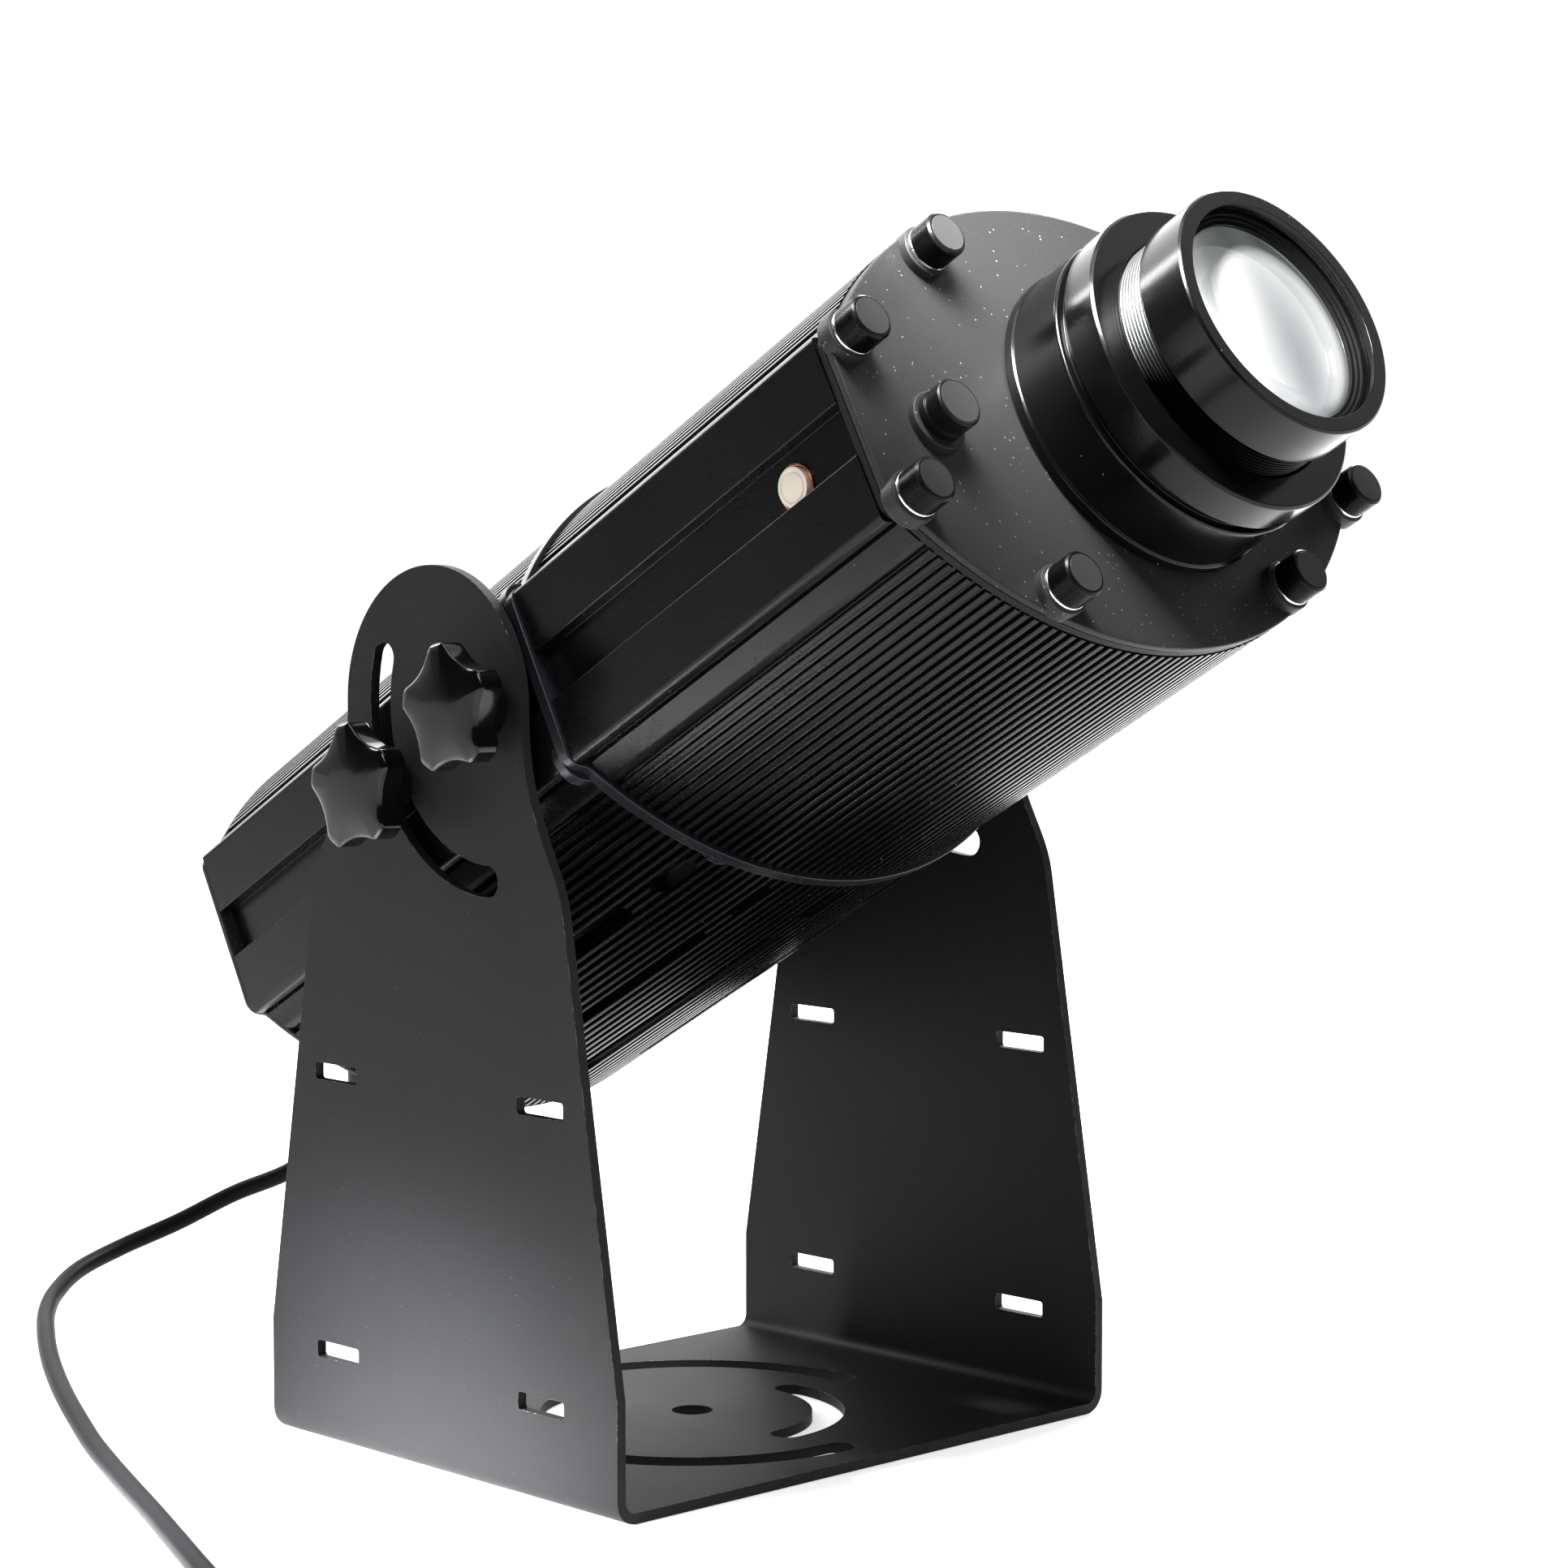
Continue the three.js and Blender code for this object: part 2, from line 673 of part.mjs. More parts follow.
function frontHousing() {
  const blind = screwShankLength - collarHeight - plateThickness - gasketThickness + overrun;
  const screwHoles = atScrews(() => disc(
    screwShankRadius + runGap, blind + overrun, frontHousingFace - blind, tinyTurnSegments));
  const breatherHoleRadius = breatherRadius + breatherSealWidth + 2 * restGap;
  const breatherHole = sideHole(breatherHoleRadius, -1, breatherDistance, breatherDrop);
  return cut(housing(frontHousingLength, frontHousingFace - frontHousingLength), ...screwHoles, breatherHole);
}

// A cooling slot through the crown, turned round the crown's centre
function vent(length, centreDistance, angle, side) {
  const depth = crownWall + 2 * overrun;
  return prism(straightSlot(length, ventWidth, smallArcSteps - 1), depth)
    .applyMatrix4(alongMinusY)
    .translate(0, crownRadius + overrun, centreDistance)
    .rotateZ(-angle)
    .translate(0, crownCentre, 0)
    .rotateZ(side > 0 ? 0 : Math.PI);
}

function rearHousing() {
  const cutters = [];
  const shortCentre = rearHousingFace - firstVentDistance - shortVentLength / 2;
  const longCentre = shortCentre - shortVentLength / 2 - ventRowGap - longVentLength / 2;
  for (const side of [-1, 1]) {
    for (let index = 0; index < ventsPerRow; index += 1) {
      const angle = ((index - (ventsPerRow - 1) / 2) * ventPitch) / crownRadius;
      cutters.push(vent(shortVentLength, shortCentre, angle, side));
      cutters.push(vent(longVentLength, longCentre, angle, side));
    }
    cutters.push(sideHole(studRadius + runGap, side, 0, 0));
    cutters.push(sideHole(studRadius + runGap, side, -lockRadius, 0));
  }
  const seatFloor = rearHousingFace - flangeCollarHeight;
  const collarSeats = atScrews(() => disc(
    collarRadius + restGap, flangeCollarHeight + overrun, seatFloor, screwTurnSegments));
  return cut(housing(rearHousingLength, rearHousingFace - rearHousingLength), ...cutters, ...collarSeats);
}

function middleFlange() {
  const outline = mirrorQuarter(plateQuarter(flangeProud, flangeCornerRadius));
  const window = arcPoints(lensCentre, flangeWindowRadius, 0, 2 * Math.PI, midTurnSegments).slice(1);
  const rear = flangeFace - flangeThickness;
  const collars = atScrews(() => disc(
    collarRadius, flangeCollarHeight + flangeThickness / 2, rear - flangeCollarHeight, screwTurnSegments));
  return join(prism(outline, flangeThickness, rear, [window]), ...collars);
}

function gasketOutlines() {
  const outer = mirrorQuarter(plateQuarter(0, plateCornerRadius));
  const scaleX = (housingHalfWidth - gasketWidth) / housingHalfWidth;
  const scaleY = (crownHeight - gasketWidth) / crownHeight;
  const inner = outer.map((point) => new THREE.Vector2(point.x * scaleX, point.y * scaleY));
  return [outer, inner];
}

function frontGasket() {
  const [outer, inner] = gasketOutlines();
  const ring = prism(outer, gasketThickness, gasketFront - gasketThickness, [inner]);
  return cut(ring, ...atScrews(() => disc(
    screwShankRadius + runGap, gasketThickness + 2 * overrun, gasketFront - gasketThickness - overrun,
    tinyTurnSegments)));
}

function frontPlate() {
  const plate = prism(mirrorQuarter(plateQuarter(0, plateCornerRadius)), plateThickness, plateRear);
  const collars = atScrews(() => disc(
    collarRadius, plateThickness + collarHeight, plateRear, screwTurnSegments));
  const controlCollar = disc(
    controlCollarRadius, plateThickness + controlCollarHeight, plateRear, midTurnSegments)
    .translate(-controlOffset, -controlDrop, 0);
  const through = plateThickness + collarHeight + 2 * overrun;
  const holes = atScrews(() => disc(
    screwShankRadius + runGap, through, plateRear - overrun, tinyTurnSegments));
  const lensHole = disc(
    focusTubeRadius + focusTubeWall + runGap, through, plateRear - overrun, lensTurnSegments)
    .translate(lensOffset, lensRise, 0);
  const controlHole = disc(controlShaftRadius + runGap, through, plateRear - overrun, tinyTurnSegments)
    .translate(-controlOffset, -controlDrop, 0);
  return cut(join(plate, ...collars, controlCollar), ...holes, lensHole, controlHole);
}

function rearPlate() {
  const hole = arcPoints(
    new THREE.Vector2(), glandThreadRadius + runGap, 0, 2 * Math.PI, midTurnSegments).slice(1);
  return prism(
    mirrorQuarter(plateQuarter(0, plateCornerRadius)), rearPlateThickness, rearPlateRear, [hole]);
}

addMesh(head, 'front_housing', 'anodisedBlack', frontHousing());
addMesh(head, 'rear_housing', 'anodisedBlack', rearHousing());
addMesh(head, 'middle_flange', 'anodisedBlack', middleFlange());
addMesh(head, 'front_gasket', 'rubber', frontGasket());
addMesh(head, 'front_plate', 'powderBlack', frontPlate());
addMesh(head, 'rear_plate', 'powderBlack', rearPlate());

// Thumb screws, each with its steel ring under a knurled head

function thumbScrew() {
  const ringBase = plateFace + collarHeight + restGap;
  const headBase = ringBase + screwRingHeight;
  const headTop = headBase + thumbHeadHeight;
  return turned([
    [0, ringBase - screwShankLength],
    [screwShankRadius, ringBase - screwShankLength],
    [screwShankRadius, ringBase],
    [screwRingRadius, ringBase],
    [screwRingRadius, headBase],
    [thumbHeadRadius, headBase],
    [thumbHeadRadius, headTop - thumbHeadChamfer],
    [thumbHeadRadius - thumbHeadChamfer, headTop],
    [0, headTop],
  ], screwTurnSegments);
}

screwPlaces.forEach(([x, y], index) => {
  addMesh(head, `thumb_screw_${index + 1}`, 'anodisedBlack', thumbScrew()).position.set(x, y, 0);
});

// Speed control: a circuit board with a rotary control, and its knob

function controlBoard() {
  const canFront = plateRear - restGap;
  const boardFront = canFront - controlCanHeight;
  const shaftTop = plateFace + controlCollarHeight + restGap + controlShaftLength;
  const board = block(boardWidth, boardHeight, boardThickness, boardFront - boardThickness);
  const root = boardFront - boardThickness / 2;
  const can = disc(controlCanRadius, canFront - root, root, screwTurnSegments);
  const shaft = disc(controlShaftRadius, shaftTop - root, root, tinyTurnSegments);
  return join(board, can, shaft);
}

function controlKnob() {
  const base = plateFace + controlCollarHeight + restGap;
  const top = base + controlKnobHeight;
  const bore = controlShaftRadius + runGap;
  const grooveRadius = controlKnobRadius - controlKnobGroove;
  const grooveTop = base + controlKnobSkirt + controlKnobGrooveWidth;
  return turned([
    [bore, base],
    [controlKnobRadius, base],
    [controlKnobRadius, base + controlKnobSkirt],
    [grooveRadius, base + controlKnobSkirt],
    [grooveRadius, grooveTop],
    [controlKnobRadius, grooveTop],
    [controlKnobRadius, top - thumbHeadChamfer],
    [controlKnobRadius - thumbHeadChamfer, top],
    [0, top],
    [0, base + controlShaftLength + restGap],
    [bore, base + controlShaftLength + restGap],
  ], screwTurnSegments);
}

addMesh(head, 'control_board', 'board', controlBoard()).position.set(-controlOffset, -controlDrop, 0);
addMesh(head, 'speed_knob', 'blackPlastic', controlKnob()).position.set(-controlOffset, -controlDrop, 0);

// Lens: fixed base and collar, then the sliding tube, and the barrel that turns on it

const lensBaseBottom = plateFace + restGap;
const lensBaseTop = lensBaseBottom + lensBaseLength;
const lensCollarBottom = lensBaseTop + lensGrooveWidth;
const lensCollarTop = lensCollarBottom + lensCollarLength;
const lensBore = focusTubeRadius + runGap;
const barrelBottom = lensCollarTop + focusTubeExposed;
const barrelTop = barrelBottom + barrelLength;
const tubeTop = barrelBottom + barrelThreadLength;
const tubeBottom = plateFace - focusTubeRear;
const tubeBore = focusTubeRadius - focusTubeWall;

function lensBase() {
  const neck = lensBaseRadius - lensGrooveDepth;
  const shoulder = arcPoints(
    new THREE.Vector2(lensBaseRadius - lensShoulderRadius, lensBaseTop - lensShoulderRadius),
    lensShoulderRadius, 0, Math.PI / 2, smallArcSteps - 1).map((point) => [point.x, point.y]);
  const spigotRadius = focusTubeRadius + focusTubeWall;
  return turned([
    [lensBore, plateFace - lensSpigotLength],
    [spigotRadius, plateFace - lensSpigotLength],
    [spigotRadius, lensBaseBottom],
    [lensFootRadius - lensFootChamfer / 2, lensBaseBottom],
    [lensFootRadius, lensBaseBottom + lensFootChamfer / 2],
    [lensFootRadius, lensBaseBottom + lensFootHeight],
    [lensBaseRadius, lensBaseBottom + lensFootHeight],
    ...shoulder,
    [neck, lensBaseTop],
    [neck, lensCollarBottom - restGap],
    [lensBore, lensCollarBottom - restGap],
  ], lensTurnSegments);
}

function lensCollar() {
  return turned([
    [lensBore, lensCollarBottom],
    [lensCollarRadius, lensCollarBottom],
    [lensCollarRadius, lensCollarTop - lensCollarBevel],
    [lensCollarRadius - lensCollarBevel, lensCollarTop],
    [lensBore, lensCollarTop],
  ], lensTurnSegments);
}

function focusTube() {
  const lipTop = tubeBottom + focusTubeLipLength;
  return turned([
    [tubeBore - focusTubeLip, tubeBottom],
    [focusTubeRadius, tubeBottom],
    [focusTubeRadius, tubeTop],
    [tubeBore, tubeTop],
    [tubeBore, lipTop],
    [tubeBore - focusTubeLip, lipTop],
  ], lensTurnSegments);
}

function lensBarrel() {
  const threadBore = focusTubeRadius + runGap;
  const ringBore = tubeBore + runGap;
  const shoulder = tubeTop + restGap;
  return turned([
    [threadBore, barrelBottom],
    [barrelRadius, barrelBottom],
    [barrelRadius, barrelTop - barrelChamfer],
    [barrelRadius - barrelChamfer, barrelTop],
    [barrelMouthRadius, barrelTop],
    [barrelMouthRadius, barrelTop - barrelMouthLip],
    [ringBore, barrelTop - barrelMouthLip],
    [ringBore, shoulder],
    [threadBore, shoulder],
  ], lensTurnSegments);
}

// A lens of revolution: its faces bulge inside a flat rim, and a face with no rise is flat
function lens(radius, rimWidth, edge, frontRise, rearRise, from, segments) {
  const rings = smallArcSteps;
  const clear = radius - rimWidth;
  const bulge = (rise) => Array.from({ length: rings + 1 }, (_, index) => {
    const share = index / rings;
    return [clear * share, rise * (1 - share * share)];
  });
  const flat = [[0, from], [radius, from]];
  const rear = rearRise > 0
    ? [...bulge(rearRise).map(([r, rise]) => [r, from - rise]), [radius, from]]
    : flat;
  const front = bulge(frontRise).reverse().map(([r, rise]) => [r, from + edge + rise]);
  return turned([...rear, [radius, from + edge], ...front], segments);
}

function frontLens() {
  const seat = tubeTop - frontLensEdge;
  return lens(tubeBore - runGap, lensRingWidth, frontLensEdge, frontLensRise, 0, seat, lensTurnSegments);
}

function rearLens() {
  const seat = tubeBottom + focusTubeLipLength + restGap;
  return lens(tubeBore - runGap, lensRimWidth, rearLensEdge, rearLensRise, 0, seat, lensTurnSegments);
}

function lensRing() {
  const bottom = tubeTop + restGap + restGap;
  return turned([
    [tubeBore - lensRingWidth, bottom + lensRingLength / 2],
    [tubeBore - lensRingWidth / 2, bottom],
    [tubeBore, bottom],
    [tubeBore, bottom + lensRingLength],
    [tubeBore - lensRingWidth, bottom + lensRingLength],
  ], lensTurnSegments);
}

const optics = new THREE.Group();
optics.position.set(lensOffset, lensRise, 0);
head.add(optics);
addMesh(optics, 'lens_base', 'anodisedBlack', lensBase());
addMesh(optics, 'lens_collar', 'anodisedBlack', lensCollar());
addMesh(optics, 'focus_tube', 'aluminium', focusTube());
addMesh(optics, 'lens_barrel', 'anodisedBlack', lensBarrel());
addMesh(optics, 'front_lens', 'glass', frontLens());
addMesh(optics, 'rear_lens', 'glass', rearLens());
addMesh(optics, 'lens_ring', 'anodisedBlack', lensRing());

// Light engine: heat sink, light source and condenser

function heatSink() {
  const half = sinkWidth / 2;
  const gap = (sinkWidth - finCount * finThickness) / (finCount - 1);
  const root = -sinkBaseThickness;
  const points = [new THREE.Vector2(half, 0), new THREE.Vector2(-half, 0)];
  for (let fin = 0; fin < finCount; fin += 1) {
    const left = -half + fin * (finThickness + gap);
    if (fin > 0) points.push(new THREE.Vector2(left, root));
    points.push(new THREE.Vector2(left, -sinkLength));
    points.push(new THREE.Vector2(left + finThickness, -sinkLength));
    if (fin < finCount - 1) points.push(new THREE.Vector2(left + finThickness, root));
  }
  return prism(points, sinkWidth).applyMatrix4(alongMinusY).translate(0, sinkWidth / 2, rearHousingFace);
}

function ledModule() {
  const base = rearHousingFace + restGap;
  const board = block(ledBoardWidth, ledBoardWidth, ledBoardThickness, base);
  const root = base + ledBoardThickness / 2;
  const emitter = disc(emitterRadius, ledBoardThickness / 2 + emitterHeight, root, midTurnSegments);
  return join(board, emitter);
}

function condenserHolder() {
  const base = flangeFace + restGap;
  const smallBore = smallCondenserRadius + runGap;
  const largeBore = largeCondenserRadius + runGap;
  const outer = largeBore + condenserWall;
  return turned([
    [smallBore - condenserSeat, base],
    [condenserFootRadius, base],
    [condenserFootRadius, base + condenserFootHeight],
    [outer, base + condenserFootHeight],
    [outer, base + condenserLength],
    [largeBore, base + condenserLength],
    [largeBore, base + condenserStepDistance],
    [smallBore, base + condenserStepDistance],
    [smallBore, base + condenserSeatDistance],
    [smallBore - condenserSeat, base + condenserSeatDistance],
  ], midTurnSegments);
}

function condenserLens(radius, seatDistance) {
  const seat = flangeFace + restGap + seatDistance + restGap;
  return lens(radius, lensRimWidth, condenserEdge, condenserRise, 0, seat, midTurnSegments);
}

addMesh(optics, 'heat_sink', 'aluminium', heatSink());
addMesh(optics, 'led_module', 'whitePlastic', ledModule());
addMesh(optics, 'condenser_holder', 'anodisedBlack', condenserHolder());
addMesh(optics, 'rear_condenser_lens', 'glass', condenserLens(smallCondenserRadius, condenserSeatDistance));
addMesh(optics, 'front_condenser_lens', 'glass', condenserLens(largeCondenserRadius, condenserStepDistance));

// Gobo drive: a carrier plate on posts, the geared holder that turns in it, and the motor beside it

const carrierRear = flangeFace + restGap + goboPlateDistance;
const carrierFront = carrierRear + goboPlateThickness;
const gearBottom = carrierFront + runGap;
const gearTop = gearBottom + gearThickness;
const gearRadius = (gearTeeth * gearModule) / 2;
const pinionRadius = (pinionTeeth * gearModule) / 2;
const driveOffset = gearRadius + pinionRadius;

function toothedOutline(teeth, turn) {
  const radius = (teeth * gearModule) / 2;
  const root = radius - toothDedendumShare * gearModule;
  const tip = radius + toothAddendumShare * gearModule;
  const pitch = (2 * Math.PI) / teeth;
  const corners = [
    [root, -rootWidthShare], [tip, -tipWidthShare], [tip, tipWidthShare], [root, rootWidthShare],
  ];
  return Array.from({ length: teeth }, (_, tooth) => corners.map(([reach, share]) => {
    const angle = turn + (tooth + share / 2) * pitch;
    return new THREE.Vector2(reach * Math.cos(angle), reach * Math.sin(angle));
  })).flat();
}

function goboCarrier() {
  const bore = (gearHubRadius + runGap) / Math.cos(Math.PI / midTurnSegments);
  const plate = block(goboPlateWidth, goboPlateHeight, goboPlateThickness, carrierRear)
    .translate(-goboPlateShift, 0, 0);
  const postLength = goboPlateDistance + goboPlateThickness / 2;
  const posts = [];
  for (const across of [-1, 1]) {
    for (const up of [-1, 1]) {
      const x = across * (goboPlateWidth / 2 - goboPostInset) - goboPlateShift;
      const y = up * (goboPlateHeight / 2 - goboPostInset);
      posts.push(disc(goboPostRadius, postLength, flangeFace + restGap, tinyTurnSegments).translate(x, y, 0));
    }
  }
  const through = goboPlateThickness + 2 * overrun;
  const shaftHole = disc(motorShaftRadius + runGap, through, carrierRear - overrun, tinyTurnSegments)
    .translate(-driveOffset, 0, 0);
  return cut(join(plate, ...posts), disc(bore, through, carrierRear - overrun, midTurnSegments), shaftHole);
}

function goboGear() {
  const teeth = prism(toothedOutline(gearTeeth, 0), gearThickness, gearBottom);
  const hub = disc(
    gearHubRadius, gearBottom - carrierRear + gearThickness / 2, carrierRear, midTurnSegments);
  const through = gearTop - carrierRear + 2 * overrun;
  const aperture = disc(goboAperture, through, carrierRear - overrun, midTurnSegments);
  const recess = disc(goboRadius + restGap, goboRecess + overrun, gearTop - goboRecess, midTurnSegments);
  return cut(join(teeth, hub), aperture, recess);
}

function goboDisc() {
  return disc(goboRadius, goboThickness, gearTop - goboRecess + restGap, midTurnSegments);
}

function goboRing() {
  const bottom = gearTop - goboRecess + restGap + goboThickness + restGap;
  const inner = goboRadius - goboRingWidth;
  return turned([
    [inner, bottom], [goboRadius, bottom],
    [goboRadius, bottom + goboRingThickness], [inner, bottom + goboRingThickness],
  ], midTurnSegments);
}

function goboMotor() {
  return disc(motorRadius, motorLength, carrierRear - restGap - motorLength, midTurnSegments);
}

// The pinion's rim faces the gear with a gap where the gear has a tooth.
function motorPinion() {
  const rim = prism(toothedOutline(pinionTeeth, Math.PI / pinionTeeth), gearThickness, gearBottom);
  const shaft = disc(
    motorShaftRadius, gearBottom + gearThickness / 2 - carrierRear, carrierRear, tinyTurnSegments);
  return join(rim, shaft);
}

addMesh(optics, 'gobo_carrier', 'aluminium', goboCarrier());
addMesh(optics, 'gobo_gear', 'brass', goboGear());
addMesh(optics, 'gobo_disc', 'glass', goboDisc());
addMesh(optics, 'gobo_ring', 'steel', goboRing());
addMesh(optics, 'gobo_motor', 'steel', goboMotor()).position.set(-driveOffset, 0, 0);
addMesh(optics, 'motor_pinion', 'brass', motorPinion()).position.set(-driveOffset, 0, 0);

// Fan behind the heat sink, and the power supply on the rear plate

function fanFrame() {
  const bore = arcPoints(new THREE.Vector2(), fanBoreRadius, 0, 2 * Math.PI, midTurnSegments).slice(1);
  const half = fanWidth / 2;
  const square = [[half, half], [-half, half], [-half, -half], [half, -half]]
    .map(([x, y]) => new THREE.Vector2(x, y));
  const duct = prism(square, fanDepth, fanRear, [bore]);
  const bridge = block(fanBoreRadius + half, fanStrutWidth, fanBackDepth, fanRear);
  const seat = disc(fanHubRadius, fanBackDepth, fanRear, midTurnSegments);
  return join(duct, bridge, bridge.clone().rotateZ(Math.PI / 2), seat);
}

function fanRotor() {
  const bottom = fanRear + fanBackDepth + runGap;
  const hub = disc(fanHubRadius, fanHubDepth, bottom, midTurnSegments);
  const reach = fanBoreRadius - fanBladeTipGap;
  const blades = Array.from({ length: fanBlades }, (_, index) =>
    new THREE.BoxGeometry(reach - fanHubRadius / 2, fanBladeThickness, fanBladeDepth)
      .rotateX(fanBladePitch)
      .translate((reach + fanHubRadius / 2) / 2, 0, bottom + fanHubDepth / 2)
      .rotateZ((2 * Math.PI * index) / fanBlades));
  return join(hub, ...blades);
}

function powerSupply() {
  const can = block(supplyWidth, supplyHeight, supplyLength, rearPlateFace + restGap);
  const lid = block(
    supplyWidth - 2 * supplyLidInset, 2 * supplyLidHeight, supplyLength - 2 * supplyLidInset,
    rearPlateFace + restGap + supplyLidInset).translate(0, supplyHeight / 2, 0);
  return join(can, lid);
}

addMesh(optics, 'fan_frame', 'blackPlastic', fanFrame());
addMesh(optics, 'fan_rotor', 'blackPlastic', fanRotor());
addMesh(head, 'power_supply', 'aluminium', powerSupply()).position.set(0, -supplyDrop, 0);

// Breather in the left channel

function breatherPlug() {
  const seat = floorOfChannel;
  const top = seat + breatherProud;
  const rim = breatherRadius - breatherRimWidth;
  return turned([
    [0, seat - breatherStemLength],
    [breatherRadius, seat - breatherStemLength],
    [breatherRadius, top],
    [rim, top],
    [rim, top - breatherGrooveDepth],
    [0, top - breatherGrooveDepth],
  ], screwTurnSegments);
}

function breatherSeal() {
  const inner = breatherRadius + restGap;
  const top = floorOfChannel;
  return turned([
    [inner, top - breatherStemLength], [inner + breatherSealWidth, top - breatherStemLength],
    [inner + breatherSealWidth, top], [inner, top],
  ], screwTurnSegments);
}

for (const [name, finish, make] of [
  ['breather_plug', 'steel', breatherPlug], ['breather_seal', 'copper', breatherSeal]]) {
  const mesh = addMesh(head, name, finish, make());
  mesh.rotation.y = -Math.PI / 2;
  mesh.position.set(0, -breatherDrop, breatherDistance);
}

// Star knobs, studs and spacers on both sides, at the pivot and at the lock slot

// The star's outline, scaled about its axis, with the same number of points as the round hub
function starRing(share, height) {
  const lobe = knobRadius * lobeRadiusShare;
  const centre = knobRadius - lobe;
  const points = [];
  for (let index = 0; index < knobLobes; index += 1) {
    const angle = (2 * Math.PI * index) / knobLobes;
    const middle = new THREE.Vector2(centre * Math.cos(angle), centre * Math.sin(angle));
    points.push(...arcPoints(middle, lobe, angle - lobeSwing, angle + lobeSwing, smallArcSteps));
    const valley = angle + Math.PI / knobLobes;
    points.push(new THREE.Vector2(
      knobRadius * valleyRadiusShare * Math.cos(valley), knobRadius * valleyRadiusShare * Math.sin(valley)));
  }
  return points.map((point) => new THREE.Vector3(point.x * share, point.y * share, height));
}

function hubRing(height) {
  return starRing(1, height).map((point) => {
    const spread = knobHubRadius / Math.hypot(point.x, point.y);
    return new THREE.Vector3(point.x * spread, point.y * spread, height);
  });
}

function starKnob() {
  const starBase = knobHubHeight;
  const body = skin([
    hubRing(0),
    hubRing(starBase),
    starRing(knobEdgeShare, starBase),
    starRing(1, starBase + knobEdgeHeight),
    starRing(1, knobHeight - knobDomeHeight - knobEdgeHeight),
    starRing(knobDomeShare, knobHeight),
  ]);
  return cut(body, disc(studRadius + restGap, studInKnobLength + overrun, -overrun, screwTurnSegments));
}

function stud() {
  const inner = floorOfChannel - sideWall - studInsideLength;
  const outer = armOuterFace + studInKnobLength;
  return disc(studRadius, outer - inner, inner, screwTurnSegments);
}

function spacer() {
  const bottom = floorOfChannel + restGap;
  const top = armInnerFace - restGap;
  const bore = studRadius + runGap;
  return turned([
    [bore, bottom], [spacerRadius, bottom], [spacerRadius, top], [bore, top],
  ], screwTurnSegments);
}

for (const [side, sideName] of [[-1, 'left'], [1, 'right']]) {
  for (const [distance, use] of [[0, 'pivot'], [-lockRadius, 'lock']]) {
    const fastening = new THREE.Group();
    fastening.position.set(0, 0, distance);
    fastening.rotation.y = (side * Math.PI) / 2;
    head.add(fastening);
    const name = `${sideName}_${use}`;
    addMesh(fastening, `${name}_knob`, 'blackPlastic', starKnob()).position.z = armOuterFace + restGap;
    addMesh(fastening, `${name}_stud`, 'steel', stud());
    addMesh(fastening, `${name}_spacer`, 'blackPlastic', spacer());
  }
}

// Gland, dome nut and cord guard on the rear plate; their heights count backwards from the head

const glandHexTop = glandHexHeight + restGap;
const domeBottom = glandHexTop + restGap;
const guardBottom = domeBottom + domeNutLength + restGap;
const guardTop = guardBottom + guardLength;
const glandBore = cordRadius + cordHoleClearance;

function glandBody() {
  const hexagon = arcPoints(new THREE.Vector2(), glandHexRadius, 0, 2 * Math.PI, 6).slice(1);
  const nut = prism(hexagon, glandHexHeight, restGap);
  const threadLength = glandThreadLength + glandHexHeight / 2;
  const thread = disc(
    glandThreadRadius, threadLength, glandHexTop - glandHexHeight / 2 - glandThreadLength, midTurnSegments);
  const length = glandThreadLength + glandHexHeight + 2 * overrun;
  return cut(join(nut, thread), disc(glandBore, length, -glandThreadLength - overrun, tinyTurnSegments));
}

function domeNut() {
  const top = domeBottom + domeNutLength;
  return turned([
    [glandBore, domeBottom], [domeNutRadius, domeBottom],
    [domeNutRadius, domeBottom + domeNutLength / 2], [domeNutTipRadius, top], [glandBore, top],
  ], screwTurnSegments);
}

function cordGuard() {
  return turned([
    [glandBore, guardBottom], [guardRootRadius, guardBottom],
    [guardTipRadius, guardTop], [glandBore, guardTop],
  ], screwTurnSegments);
}

const outlet = new THREE.Group();
outlet.position.set(0, 0, rearPlateRear);
outlet.rotation.x = Math.PI;
head.add(outlet);
addMesh(outlet, 'cable_gland', 'blackPlastic', glandBody());
addMesh(outlet, 'gland_nut', 'blackPlastic', domeNut());
addMesh(outlet, 'cord_guard', 'rubber', cordGuard());

// Cord: a free stretch, a coil wound in one layer and out in the next, and the plug

part.updateMatrixWorld(true);
const cordStart = outlet.localToWorld(new THREE.Vector3(0, 0, guardTop + restGap));

function sweep(curve, radius, sides, steps) {
  const section = arcPoints(new THREE.Vector2(), radius, 0, 2 * Math.PI, sides).slice(1);
  const options = { steps, extrudePath: curve, bevelEnabled: false };
  return new THREE.ExtrudeGeometry(new THREE.Shape(section), options);
}

const floorLevel = cordRadius + floorGap;
const routeLift = (cordStart.z - floorLevel) / (routeExitHeight - floorLevel);
const routePoints = [
  cordStart,
  ...cordRoute.map(([x, y, z]) => new THREE.Vector3(x, y, floorLevel + (z - floorLevel) * routeLift)),
];
const freeCurve = new THREE.CatmullRomCurve3(routePoints, false, 'centripetal');
const freeLength = freeCurve.getLength();
const coilStart = routePoints.at(-1);
const coilHeading = freeCurve.getTangent(1).setZ(0).normalize();
const coilHalfBand = coilTurnPitch / 2;
const coilSquash = coilHalfBand * coilInwardShare;
const straightEnd = 2 * cordRadius;
const woundLength = cordLength - freeLength - straightEnd - coilTail;
const turnsEachWay = (woundLength / (2 * Math.PI * coilMidRadius) - 0.5) / 2;
const layerRise = coilTurnPitch;

